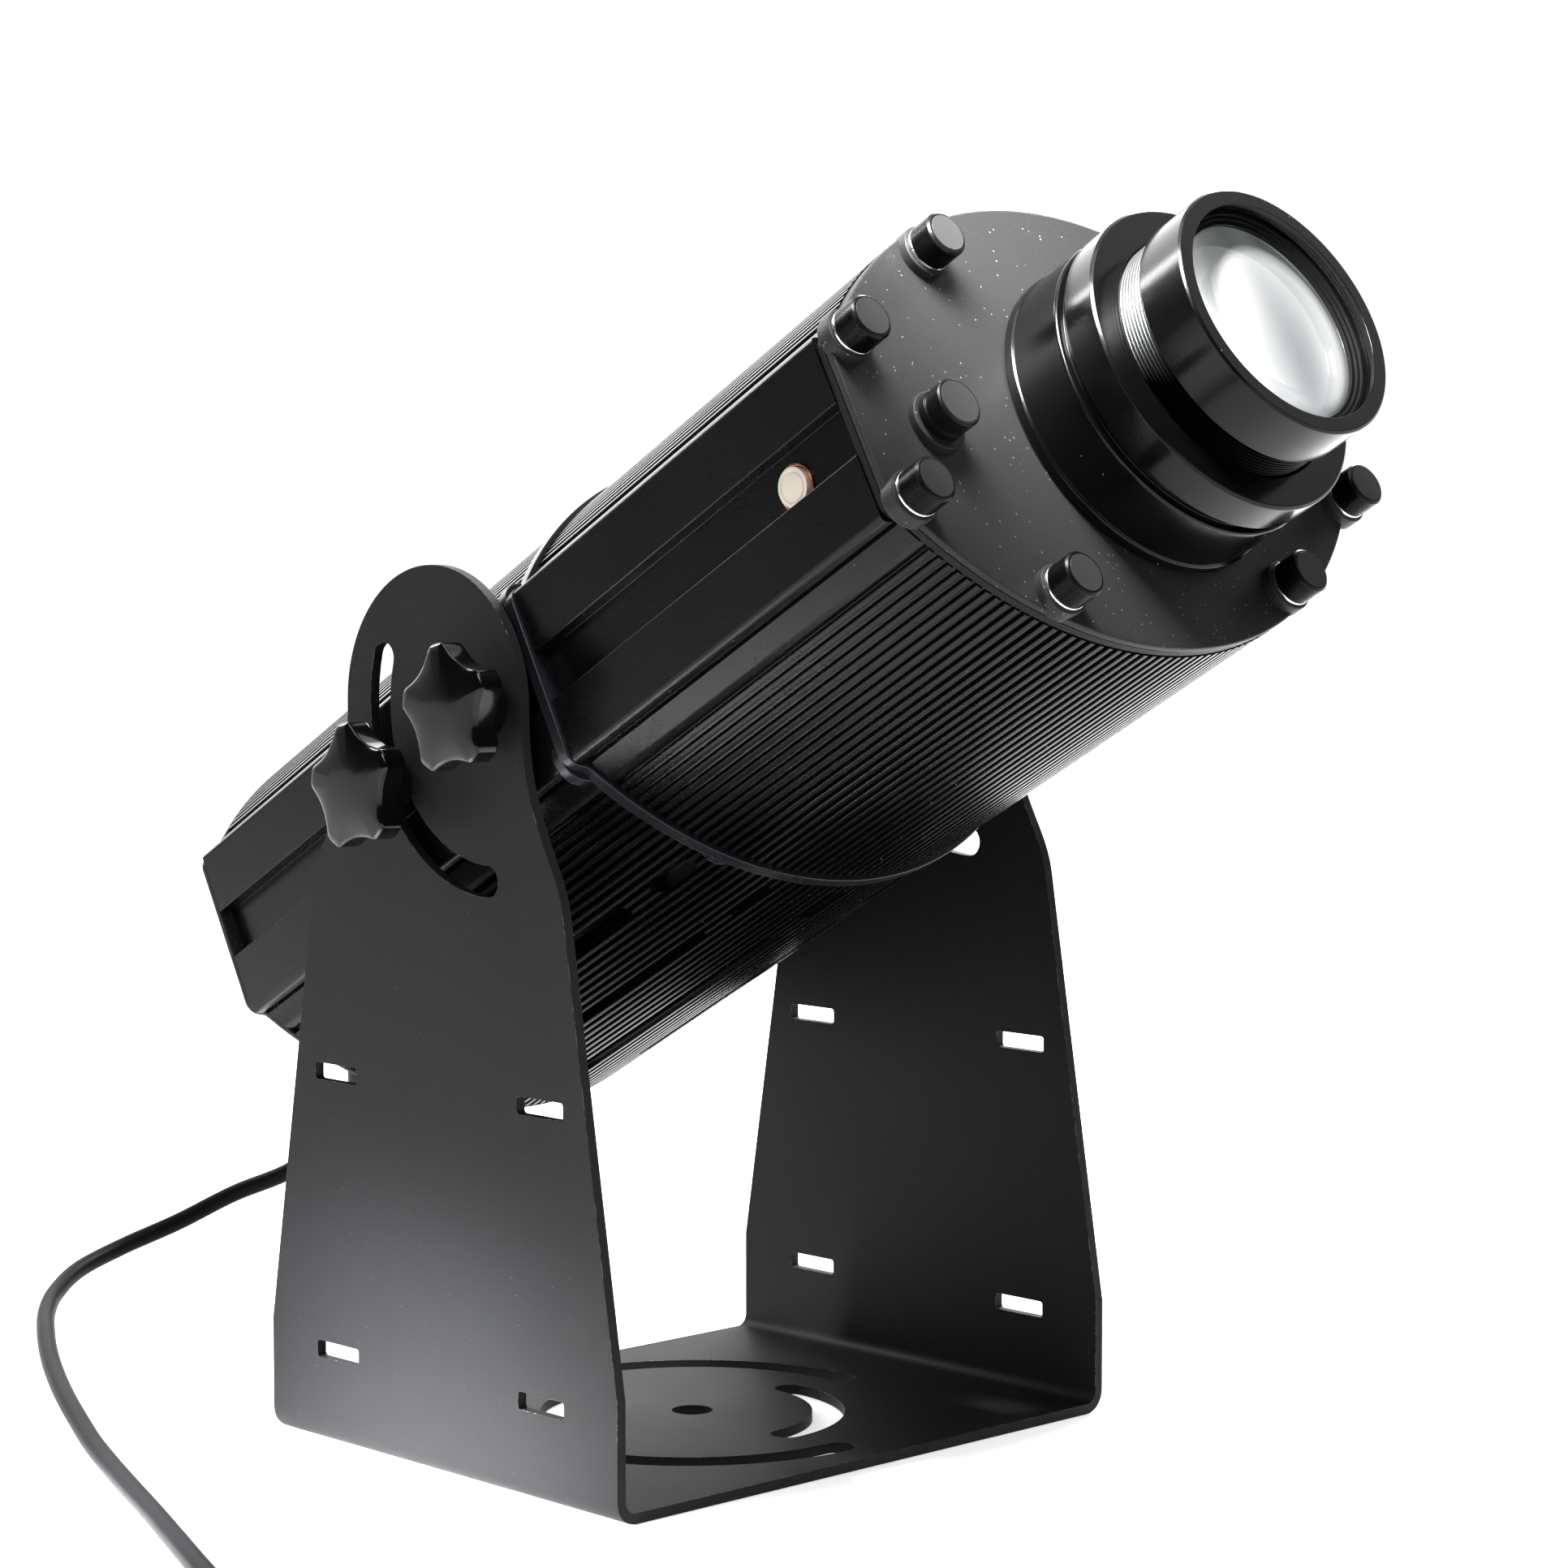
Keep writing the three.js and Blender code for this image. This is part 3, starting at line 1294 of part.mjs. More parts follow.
// Radius and height after so many turns: in along the floor, up a layer in half a turn, and out again
function coilPlace(turns) {
  const outer = coilMidRadius + coilHalfBand * turnsEachWay;
  const inner = outer - coilTurnPitch * turnsEachWay;
  if (turns <= turnsEachWay) return [outer - coilTurnPitch * turns, 0];
  if (turns >= turnsEachWay + 0.5) return [inner + coilTurnPitch * (turns - turnsEachWay - 0.5), layerRise];
  const climb = (turns - turnsEachWay) / 0.5;
  return [inner - coilSquash * Math.sin(Math.PI * climb), (layerRise * (1 - Math.cos(Math.PI * climb))) / 2];
}

const coilTurns = 2 * turnsEachWay + 0.5;
const coilSide = new THREE.Vector3(coilHeading.y, -coilHeading.x, 0);
const coilCentre = coilStart.clone()
  .addScaledVector(coilHeading, straightEnd + restGap)
  .addScaledVector(coilSide, coilPlace(0)[0]);

function coilPoint(turns) {
  const [radius, height] = coilPlace(turns);
  const angle = 2 * Math.PI * turns;
  return coilCentre.clone()
    .addScaledVector(coilSide, -radius * Math.cos(angle))
    .addScaledVector(coilHeading, radius * Math.sin(angle))
    .add(new THREE.Vector3(0, 0, height));
}

const windSteps = Math.round(coilTurns * coilSteps);
const wound = Array.from({ length: windSteps + 1 }, (_, index) => coilPoint((coilTurns * index) / windSteps));
const plugHeading = wound.at(-1).clone().sub(wound.at(-2)).setZ(0)
  .applyAxisAngle(new THREE.Vector3(0, 0, 1), -Math.PI / coilSteps).normalize();
const coilLine = [
  coilStart.clone().addScaledVector(coilHeading, restGap),
  ...wound,
  wound.at(-1).clone().addScaledVector(plugHeading, coilTail),
];

// One unbroken tube over the coil's points, each ring square to the line through its neighbours
function cordCoil() {
  const rings = coilLine.map((point, index) => {
    const before = coilLine[Math.max(index - 1, 0)];
    const after = coilLine[Math.min(index + 1, coilLine.length - 1)];
    const ahead = after.clone().sub(before).normalize();
    const sideways = new THREE.Vector3(0, 0, 1).cross(ahead).normalize();
    const upwards = ahead.clone().cross(sideways);
    return Array.from({ length: coilSides }, (_, corner) => {
      const angle = (2 * Math.PI * (corner + 0.5)) / coilSides;
      return point.clone()
        .addScaledVector(sideways, cordRadius * Math.cos(angle))
        .addScaledVector(upwards, cordRadius * Math.sin(angle));
    });
  });
  return skin(rings);
}

function leastCoilGap() {
  let least = Infinity;
  for (let first = 0; first < coilLine.length; first += 1) {
    for (let second = first + coilSteps / 2; second < coilLine.length; second += 1) {
      least = Math.min(least, coilLine[first].distanceTo(coilLine[second]) - 2 * cordRadius);
    }
  }
  return least;
}
const gapText = leastCoilGap().toFixed(2);
console.log(`least gap of the coil to itself: ${gapText} mm, turns ${coilTurns.toFixed(2)}`);

const freeSteps = Math.round(freeLength / cordStep);
addMesh(part, 'power_cord', 'rubber', sweep(freeCurve, cordRadius, cordSides, freeSteps));
addMesh(part, 'cord_coil', 'rubber', cordCoil());

// The plug lies on its flat side beside the coil, with its heights counted from the cord
function plugBody() {
  const faceHeight = plugNeckLength + plugLength;
  const round = turned([
    [0, 0], [plugNeckRadius, 0], [plugNeckRadius, plugNeckLength],
    [plugRadius, plugNeckLength + plugNeckRadius], [plugRadius, faceHeight], [0, faceHeight],
  ], midTurnSegments);
  const flatHalf = cordRadius + floorGap + layerRise;
  const slab = block(2 * flatHalf, 2 * plugRadius + overrun, faceHeight + overrun, -overrun / 2);
  const seats = [-1, 1].map((side) => disc(
    plugPinRadius + restGap, plugPinSeat + overrun, faceHeight - plugPinSeat, tinyTurnSegments)
    .translate(0, (side * plugPinSpacing) / 2, 0));
  return cut(common(round, slab), ...seats);
}

function plugPin() {
  const faceHeight = plugNeckLength + plugLength;
  const base = faceHeight - plugPinSeat + restGap;
  return disc(plugPinRadius, faceHeight + plugPinLength - base, base, tinyTurnSegments);
}

const plug = new THREE.Group();
plug.position.copy(coilLine.at(-1)).addScaledVector(plugHeading, restGap);
const upward = new THREE.Vector3(0, 0, 1);
plug.quaternion.setFromRotationMatrix(
  new THREE.Matrix4().makeBasis(upward, plugHeading.clone().cross(upward), plugHeading));
part.add(plug);
addMesh(plug, 'plug_body', 'rubber', plugBody());
addMesh(plug, 'plug_pin_1', 'steel', plugPin()).position.y = plugPinSpacing / 2;
addMesh(plug, 'plug_pin_2', 'steel', plugPin()).position.y = -plugPinSpacing / 2;

export default part;
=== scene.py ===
"""Looks of a gobo projector: a ribbed tilting head with a focusing lens, hung in a bent steel yoke.

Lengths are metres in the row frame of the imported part: +Z up, X along the tilt axis, and the lens
looks towards -Y. The head's own axes are X across it, Y up from the optical axis, and Z along it.
"""

import logging
import math
from dataclasses import dataclass
from enum import Enum
from typing import Callable, Sequence

import bmesh
import bpy
import numpy as np
import numpy.typing as npt
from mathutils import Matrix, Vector


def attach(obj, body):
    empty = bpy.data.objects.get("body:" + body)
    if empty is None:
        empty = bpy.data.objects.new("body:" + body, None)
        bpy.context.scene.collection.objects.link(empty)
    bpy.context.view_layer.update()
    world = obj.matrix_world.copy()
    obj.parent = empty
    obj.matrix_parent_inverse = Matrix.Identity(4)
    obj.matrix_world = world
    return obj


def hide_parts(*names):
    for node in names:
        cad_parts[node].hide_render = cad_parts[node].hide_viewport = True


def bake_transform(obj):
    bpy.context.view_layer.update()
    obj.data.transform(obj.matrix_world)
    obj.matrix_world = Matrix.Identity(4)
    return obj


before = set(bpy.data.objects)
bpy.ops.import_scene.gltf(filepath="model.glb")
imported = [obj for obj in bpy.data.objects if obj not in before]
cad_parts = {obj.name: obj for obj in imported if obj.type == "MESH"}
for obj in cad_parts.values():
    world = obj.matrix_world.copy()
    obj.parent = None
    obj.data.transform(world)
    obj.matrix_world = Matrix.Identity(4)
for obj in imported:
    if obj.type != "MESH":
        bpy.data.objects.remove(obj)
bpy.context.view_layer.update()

Array = npt.NDArray[np.float64]
LOG = logging.getLogger("gobo_projector")
FULL_TURN = 2 * math.pi
QUARTER_TURN = math.pi / 2


class Body(Enum):
    """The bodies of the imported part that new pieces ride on."""

    YOKE = "yoke"
    HEAD = "head"
    FOCUS_GLASS = "focus_glass"
    FOCUS_BARREL = "focus_barrel"
    SPEED_CONTROL = "speed_control"


class Slot(Enum):
    """The record's material slots that new pieces carry."""

    POWDER = "powder_black"
    PLATE = "plate_black"
    ANODISED = "anodised_black"
    PLASTIC = "black_plastic"
    RUBBER = "rubber"
    STEEL = "steel"
    ALUMINIUM = "aluminium"
    COPPER = "copper"
    GLASS = "glass"


# Shader networks


class Value:
    """A number on a shader socket. Arithmetic on it adds Math nodes."""

    def __init__(self, net: "Net", socket: bpy.types.NodeSocket) -> None:
        """Keeps the network and the socket that carries the number."""
        self.net = net
        self.socket = socket

    def math(self, operation: str, other: "Value | float") -> "Value":
        """Adds one Math node, with this number as its first input and the other as its second."""
        node = self.net.node("ShaderNodeMath", {"operation": operation}, {0: self, 1: other})
        return Value(self.net, node.outputs[0])

    def __add__(self, other: "Value | float") -> "Value":
        """The sum."""
        return self.math("ADD", other)

    def __sub__(self, other: "Value | float") -> "Value":
        """The difference."""
        return self.math("SUBTRACT", other)

    def __mul__(self, other: "Value | float") -> "Value":
        """The product."""
        return self.math("MULTIPLY", other)

    def __gt__(self, other: "Value | float") -> "Value":
        """One where this is the greater, else zero."""
        return self.math("GREATER_THAN", other)

    def __lt__(self, other: "Value | float") -> "Value":
        """One where this is the smaller, else zero."""
        return self.math("LESS_THAN", other)

    def clamped(self) -> "Value":
        """The number, held between zero and one."""
        return Value(self.net, self.net.node("ShaderNodeClamp", {}, {"Value": self}).outputs[0])


class Net:
    """The node network of one material or world, with its shader."""

    def __init__(self, owner: bpy.types.Material | bpy.types.World, shader: str = "Principled BSDF") -> None:
        """Takes the owner's nodes, and finds its shader by name."""
        owner.use_nodes = True
        self.owner = owner
        self.tree = owner.node_tree
        self.shader = self.tree.nodes[shader]

    def node(self, kind: str, settings: dict, inputs: dict) -> bpy.types.Node:
        """Adds a node.

        Args:
            kind: the node's type.
            settings: its properties. A colour ramp's stops are given as "stops".
            inputs: its sockets by name or number, each a number, a colour or something to link.

        Returns:
            The node.
        """
        node = self.tree.nodes.new(kind)
        for name, value in settings.items():
            if name == "stops":
                for element, (place, colour) in zip(node.color_ramp.elements, value):
                    element.position = place
                    element.color = colour
            else:
                setattr(node, name, value)
        for key, value in inputs.items():
            self.feed(node.inputs[key], value)
        return node

    def feed(self, socket: bpy.types.NodeSocket, value: object) -> None:
        """Links something to a socket, or sets its number or colour."""
        if isinstance(value, Value):
            self.tree.links.new(value.socket, socket)
        elif isinstance(value, bpy.types.NodeSocket):
            self.tree.links.new(value, socket)
        else:
            socket.default_value = value

    def dress(self, values: dict) -> None:
        """Feeds the shader's own sockets, each by its name."""
        for name, value in values.items():
            self.feed(self.shader.inputs[name], value)

    def place_in_object(self, scale: tuple[float, float, float] = (1, 1, 1),
                        turn: tuple[float, float, float] = (0, 0, 0)) -> bpy.types.NodeSocket:
        """Object coordinates, turned and then scaled along their axes.

        Args:
            scale: how much each axis is multiplied.
            turn: the rotation that comes first, as Euler angles.

        Returns:
            The socket with the place.
        """
        coordinates = self.node("ShaderNodeTexCoord", {}, {}).outputs["Object"]
        turned = self.node("ShaderNodeMapping", {}, {"Vector": coordinates, "Rotation": turn})
        return self.node("ShaderNodeMapping", {}, {"Vector": turned.outputs[0], "Scale": scale}).outputs[0]

    def noise(self, place: bpy.types.NodeSocket, scale: float, detail: float = 2.0) -> Value:
        """Fractal noise about one half, whose grain is one over the scale in metres."""
        node = self.node("ShaderNodeTexNoise", {}, {"Vector": place, "Scale": scale, "Detail": detail})
        return Value(self, node.outputs[0])

    def specks(self, place: bpy.types.NodeSocket, scale: float, size: float, share: float) -> Value:
        """Small round dots.

        Args:
            place: where the surface is.
            scale: cells per metre.
            size: a dot's radius as a share of its cell.
            share: the share of cells that have one.

        Returns:
            One on a dot, else zero.
        """
        cells = self.node("ShaderNodeTexVoronoi", {"feature": "F1"}, {"Vector": place, "Scale": scale})
        chosen = self.node("ShaderNodeSeparateColor", {}, {"Color": cells.outputs["Color"]})
        near = Value(self, cells.outputs["Distance"]) < size
        return near * (Value(self, chosen.outputs[0]) < share)

    def blend(self, factor: Value, low: object, high: object) -> bpy.types.NodeSocket:
        """The colour from low, at factor 0, to high, at 1. Each is a colour or a socket."""
        low, high = ((*end, 1) if isinstance(end, tuple) else end for end in (low, high))
        return self.node("ShaderNodeMix", {"data_type": "RGBA"}, {0: factor, 6: low, 7: high}).outputs[2]

    def height_share(self, low: float, high: float) -> Value:
        """How far up from one height to another a place is, from 0 to 1."""
        place = self.node("ShaderNodeSeparateXYZ", {}, {"Vector": self.place_in_object()})
        return ((Value(self, place.outputs["Z"]) - low) * (1 / (high - low))).clamped()

    def bump(self, height: Value, depth: float) -> None:
        """Bumps the shader's surface by the height, from 0 to 1, times a depth in metres."""
        node = self.node("ShaderNodeBump", {}, {"Strength": 1.0, "Distance": depth, "Height": height})
        self.feed(self.shader.inputs["Normal"], node.outputs[0])


class Surface:
    """Anything with a name and a material that is built once."""

    name: str

    def material(self) -> bpy.types.Material:
        """Builds the material, or returns the one that was built before."""
        found = bpy.data.materials.get(self.name)
        if found is None:
            found = bpy.data.materials.new(self.name)
            self.paint(Net(found))
        return found

    def paint(self, net: Net) -> None:
        """Adds the material's nodes."""
        raise NotImplementedError


@dataclass(frozen=True)
class Finish(Surface):
    """A surface finish: its shader values and how they vary.

    Grain is the relief that covers the surface, and streak its scale along the head, under one for
    grain that runs along it. Clouds are wide, slightly lighter patches and dust the light specks.
    Fade gives the heights over which painted shade takes a surface from black, below, to its own colour,
    above; the shade covers the dust too.
    """

    name: str
    colour: tuple[float, float, float]
    roughness: float
    metallic: float = 0.0
    specular: float = 0.5
    coat: float = 0.0
    coat_roughness: float = 0.08
    grain_scale: float = 900.0
    grain_depth: float = 0.00004
    roughness_swing: float = 0.1
    cloud_scale: float = 14.0
    cloud_lightness: float = 1.35
    dust_share: float = 0.0
    dust_scale: float = 260.0
    dust_size: float = 0.09
    dust_colour: tuple[float, float, float] = (0.22, 0.22, 0.22)
    streak: float = 1.0
    tilt: float = 0.0
    fade: tuple[float, float] | None = None
    painted_shade_colour: tuple[float, float, float] = (0.002, 0.002, 0.002)

    def paint(self, net: Net) -> None:
        """Adds the nodes of the finish."""
        grain = net.noise(net.place_in_object((1, self.streak, 1), (self.tilt, 0, 0)), self.grain_scale)
        cloud = net.noise(net.place_in_object(), self.cloud_scale, 3.0)
        coloured = net.blend(cloud, self.colour, tuple(self.cloud_lightness * part for part in self.colour))
        if self.dust_share > 0:
            dust = net.specks(net.place_in_object(), self.dust_scale, self.dust_size, self.dust_share)
            coloured = net.blend(dust, coloured, self.dust_colour)
        # Painted shade: black below the lower fade height, rising to the finish's own colour at the upper
        # one.
        if self.fade is not None:
            coloured = net.blend(net.height_share(*self.fade), self.painted_shade_colour, coloured)
        net.dress({
            "Base Color": coloured,
            "Metallic": self.metallic,
            "Specular IOR Level": self.specular,
            "Coat Weight": self.coat,
            "Coat Roughness": self.coat_roughness,
            "Roughness": (cloud + grain * 0.6 - 0.8) * self.roughness_swing + self.roughness,
        })
        net.bump(grain, self.grain_depth)


@dataclass(frozen=True)
class WornEdge(Surface):
    """The coat along a sheet's cut edge, chipped down to bare metal in specks, in patches."""

    name: str
    coat: Finish
    bare: tuple[float, float, float] = (0.9, 0.91, 0.93)
    chip_scale: float = 300.0
    chip_level: float = 0.52
    patch_scale: float = 34.0
    patch_level: float = 0.44
    roughness: float = 0.42
    grain_scale: float = 1200.0
    grain_depth: float = 0.00004

    def paint(self, net: Net) -> None:
        """Adds the nodes of the coat and its chips."""
        place = net.place_in_object()
        patches = net.noise(place, self.patch_scale) > self.patch_level
        chips = (net.noise(place, self.chip_scale, 3.0) > self.chip_level) * patches
        net.dress({
            "Base Color": net.blend(chips, self.coat.colour, self.bare),
            "Roughness": chips * -0.1 + self.roughness,
            "Metallic": chips * 0.2,
            "Specular IOR Level": 0.5,
        })
        net.bump(net.noise(place, self.grain_scale), self.grain_depth)


@dataclass(frozen=True)
class LensGlass(Surface):
    """Coated optical glass, with a faint dusty film and, if asked, a painted reflection: a glowing patch that
    stands for the bright studio caught deep in it.
    """

    name: str
    tint: tuple[float, float, float] = (0.97, 1.0, 0.985)
    film: tuple[float, float, float] = (0.99, 1.0, 0.995)
    film_scale: float = 60.0
    painted_reflection_middle: tuple[float, float, float] | None = None
    painted_reflection_radius: float = 0.034
    painted_reflection_edge: float = 0.004
    painted_reflection_strength: float = 0.58

    def paint(self, net: Net) -> None:
        """Adds the nodes of the glass."""
        film = net.noise(net.place_in_object(), self.film_scale, 3.0)
        net.dress({
            "Base Color": net.blend(film, self.tint, self.film),
            "Roughness": film * 0.03,
            "Transmission Weight": 1.0,
            "IOR": 1.52,
            "Specular IOR Level": 0.8,
        })
        # Painted reflection: the glass glows where the bright studio would be reflected in it.
        if self.painted_reflection_middle is not None:
            net.dress({"Emission Color": self.painted_reflection(net), "Emission Strength": self.painted_reflection_strength})

    def painted_reflection(self, net: Net) -> bpy.types.NodeSocket:
        """The colour of the painted reflection, which the glass gives off as light: white within its radius,
        streaked with grey, and near black outside.
        """
        place = net.place_in_object()
        away = net.node("ShaderNodeVectorMath", {"operation": "DISTANCE"}, {0: place, 1: self.painted_reflection_middle})
        reach = Value(net, away.outputs["Value"])
        inside = ((reach * -1.0 + self.painted_reflection_radius) * (1 / self.painted_reflection_edge)).clamped()
        streaks = net.noise(net.place_in_object((30.0, 6.0, 12.0), (0.5, 0.0, 0.4)), 1.0, 1.0)
        painted_dim_glow = net.noise(net.place_in_object((40.0, 9.0, 60.0), (0.0, 0.3, 0.2)), 1.0)
        bright = net.blend((streaks - 0.5) * 2.2 + 0.6, (0.3, 0.32, 0.33), (1.0, 1.0, 1.0))
        dim = net.blend(painted_dim_glow, (0.0, 0.01, 0.008), (0.16, 0.17, 0.17))
        return net.blend(inside, dim, bright)


TILT = math.radians(29)
POWDER = Finish(
    "powder_coat_black", (0.0085, 0.0088, 0.0096), 0.52, specular=0.12, grain_scale=1500.0,
    grain_depth=0.00006, dust_share=0.05, dust_scale=330.0, dust_size=0.07)
POWDER_EDGE = WornEdge("powder_coat_worn_edge", POWDER)
FACE = Finish(
    "face_plate_grain", (0.014, 0.014, 0.0143), 0.5, specular=0.2, grain_scale=1300.0, grain_depth=0.00014,
    dust_share=0.3, dust_scale=420.0, dust_size=0.14, dust_colour=(0.16, 0.16, 0.16))
EXTRUSION = Finish(
    "extrusion_anodised", (0.002, 0.0021, 0.0024), 0.26, specular=0.2, grain_scale=1400.0,
    grain_depth=0.00002, streak=0.4, tilt=TILT, dust_share=0.08, dust_scale=300.0, dust_size=0.08)
MACHINED = Finish(
    "machined_anodised_black", (0.0012, 0.0012, 0.0013), 0.17, specular=0.25, grain_scale=1100.0,
    grain_depth=0.00002, dust_share=0.02)
BAFFLE = Finish("matt_black_baffle", (0.002, 0.002, 0.002), 0.55, specular=0.12)
KNURL = Finish("knurled_black", (0.0025, 0.0025, 0.0027), 0.28, specular=0.15, grain_scale=1500.0)
CAP = Finish(
    "screw_cap_grey", (0.022, 0.022, 0.0225), 0.5, specular=0.25, grain_scale=1600.0, grain_depth=0.00003)
GLOSSY = Finish(
    "moulded_gloss_black", (0.0025, 0.0024, 0.0024), 0.1, specular=0.3, coat=0.1, grain_scale=240.0,
    grain_depth=0.00002, roughness_swing=0.05, dust_share=0.05, dust_scale=300.0, dust_size=0.06)
SATIN = Finish("moulded_satin_black", (0.003, 0.003, 0.0031), 0.34, specular=0.16, grain_scale=800.0)
RUBBER = Finish(
    "rubber_black", (0.004, 0.004, 0.0043), 0.5, specular=0.15, grain_scale=700.0, dust_share=0.05)
SHEATH = Finish(
    "cord_sheath", (0.003, 0.0032, 0.0038), 0.42, specular=0.03, grain_scale=420.0, grain_depth=0.00001)
BRIGHT = Finish("bright_steel", (0.72, 0.72, 0.73), 0.18, metallic=1.0, grain_depth=0.00001)
# The focus tube's thread has painted shade: its colour darkens from 0.458 m down to black at 0.405 m.
THREAD = Finish(
    "turned_aluminium_painted_shade", (0.26, 0.265, 0.27), 0.33, metallic=1.0, grain_scale=800.0, fade=(0.405, 0.458))
BARE = Finish("bare_aluminium", (0.6, 0.61, 0.62), 0.34, metallic=1.0, grain_scale=500.0)
FLANGE = Finish("flange_brushed_black", (0.007, 0.008, 0.01), 0.28, specular=0.3, dust_share=0.05)
PLATED = Finish("plated_warm", (0.66, 0.59, 0.5), 0.36, specular=0.6, metallic=0.2)
COPPER = Finish("copper_washer", (0.72, 0.27, 0.14), 0.22, metallic=1.0, grain_scale=600.0)
BRASS = Finish("machined_brass", (0.72, 0.52, 0.2), 0.25, metallic=1.0, grain_scale=600.0)
BOARD = Finish("circuit_board_green", (0.02, 0.12, 0.05), 0.45, grain_scale=300.0)
CERAMIC = Finish("white_ceramic", (0.8, 0.79, 0.75), 0.5, grain_scale=400.0)
LENS = LensGlass("lens_glass")
# The front lens glows with a painted reflection of the studio, centred on this point.
FRONT_GLASS = LensGlass("objective_glass_painted_reflection", painted_reflection_middle=(0.0249, -0.2798, 0.4264))


# Geometry worked out as whole arrays


@dataclass(frozen=True)
class Placement:
    """Where a piece's own axes lie in the row frame."""

    origin: tuple[float, float, float]
    x_axis: tuple[float, float, float]
    y_axis: tuple[float, float, float]
    z_axis: tuple[float, float, float]

    def carry(self, points: Array) -> Array:
        """Carries points, one a row: origin + a * x_axis + b * y_axis + c * z_axis."""
        return np.array(self.origin) + points @ np.array([self.x_axis, self.y_axis, self.z_axis])

    def moved(self, x: float = 0.0, y: float = 0.0, z: float = 0.0) -> "Placement":
        """The same axes, with the origin at a point given along them."""
        origin = self.carry(np.array([[x, y, z]]))[0]
        return Placement(tuple(origin), self.x_axis, self.y_axis, self.z_axis)


MIRROR = np.array([-1.0, 1.0])
PIVOT = (0.0, -0.033, 0.2907)
LENS_CENTRE = (0.0169, 0.0011)
HEAD = Placement(PIVOT, (1, 0, 0), (0, math.sin(TILT), math.cos(TILT)), (0, -math.cos(TILT), math.sin(TILT)))


def facing_side(side: int, distance: float, rise: float = 0.0) -> Placement:
    """The placement on the tilt axis's line, facing out of one side of the head.

    Args:
        side: -1 for the left and 1 for the right.
        distance: how far along the optical axis.
        rise: how far above it.

    Returns:
        A placement whose own Z points out of that side.
    """
    seat = HEAD.moved(0.0, rise, distance)
    forward = tuple(-side * np.array(HEAD.z_axis))
    return Placement(seat.origin, forward, HEAD.y_axis, (float(side), 0.0, 0.0))


@dataclass
class Shell:
    """Points and faces of one or more closed surfaces."""

    points: Array
    faces: list[Sequence[int]]

    def __add__(self, other: "Shell") -> "Shell":
        """Both shells in one."""
        shift = len(self.points)
        moved = [[shift + corner for corner in face] for face in other.faces]
        return Shell(np.vstack([self.points, other.points]), [*self.faces, *moved])

    def carried(self, placement: Placement) -> "Shell":
        """The shell with its points carried by a placement."""
        return Shell(placement.carry(self.points), self.faces)

    def shifted(self, x: float, y: float) -> "Shell":
        """The shell moved along its own X and Y."""
        return Shell(self.points + np.array([x, y, 0.0]), self.faces)


def grid_faces(rows: int, columns: int, wrap_rows: bool) -> list[list[int]]:
    """The quads of a grid of points that are numbered row by row, each row a ring.

    Args:
        rows: how many rows there are.
        columns: how many points a row has.
        wrap_rows: whether the last row joins the first.

    Returns:
        Four corners for each quad.
    """
    spans = rows if wrap_rows else rows - 1
    row, column = np.meshgrid(np.arange(spans), np.arange(columns), indexing="ij")
    here, after = row * columns, (row + 1) % rows * columns
    beside = (column + 1) % columns
    corners = [here + column, here + beside, after + beside, after + column]
    return np.stack(corners, axis=-1).reshape(-1, 4).tolist()


def eased(corners: npt.ArrayLike, radii: float | Sequence[float], closed: bool = False, steps: int = 3,
          hold: float = 0.0002) -> Array:
    """Rounds the corners of a line of points.

    Near a corner C with directions a and b to its neighbours the line is C + a*t*(1-s)^2 + b*t*s^2
    for s from 0 to 1, where t is the radius over the tangent of half the corner's angle. A held
    point on either side keeps the flats flat when they are shaded smoothly.

    Args:
        corners: the points, one a row.
        radii: the radius at each corner, or one for all.
        closed: whether the line closes on itself. An open line keeps its two ends.
        steps: how many pieces each rounding has.
        hold: how far from the rounding its held points lie.

    Returns:
        The rounded line.
    """
    corners = np.asarray(corners, float)
    before = np.roll(corners, 1, axis=0) - corners
    after = np.roll(corners, -1, axis=0) - corners
    reach_before = np.linalg.norm(before, axis=1, keepdims=True)
    reach_after = np.linalg.norm(after, axis=1, keepdims=True)
    before = before / np.maximum(reach_before, 1e-9)
    after = after / np.maximum(reach_after, 1e-9)
    half = np.arccos(np.clip((before * after).sum(1, keepdims=True), -0.9999, 0.9999)) / 2
    room = 0.45 * np.minimum(reach_before, reach_after)
    wanted = np.broadcast_to(np.asarray(radii, float).reshape(-1, 1), (len(corners), 1)) / np.tan(half)
    tangent = np.minimum(wanted, room)
    held = np.minimum(tangent + hold, 1.05 * room)
    share = np.linspace(0, 1, steps + 1)[None, :, None]
    arcs = (corners[:, None] + (before * tangent)[:, None] * (1 - share) ** 2
            + (after * tangent)[:, None] * share ** 2)
    first = (corners + before * held)[:, None]
    last = (corners + after * held)[:, None]
    line = np.concatenate([first, arcs, last], axis=1)
    if closed:
        return line.reshape(-1, corners.shape[1])
    return np.vstack([corners[:1], line[1:-1].reshape(-1, corners.shape[1]), corners[-1:]])


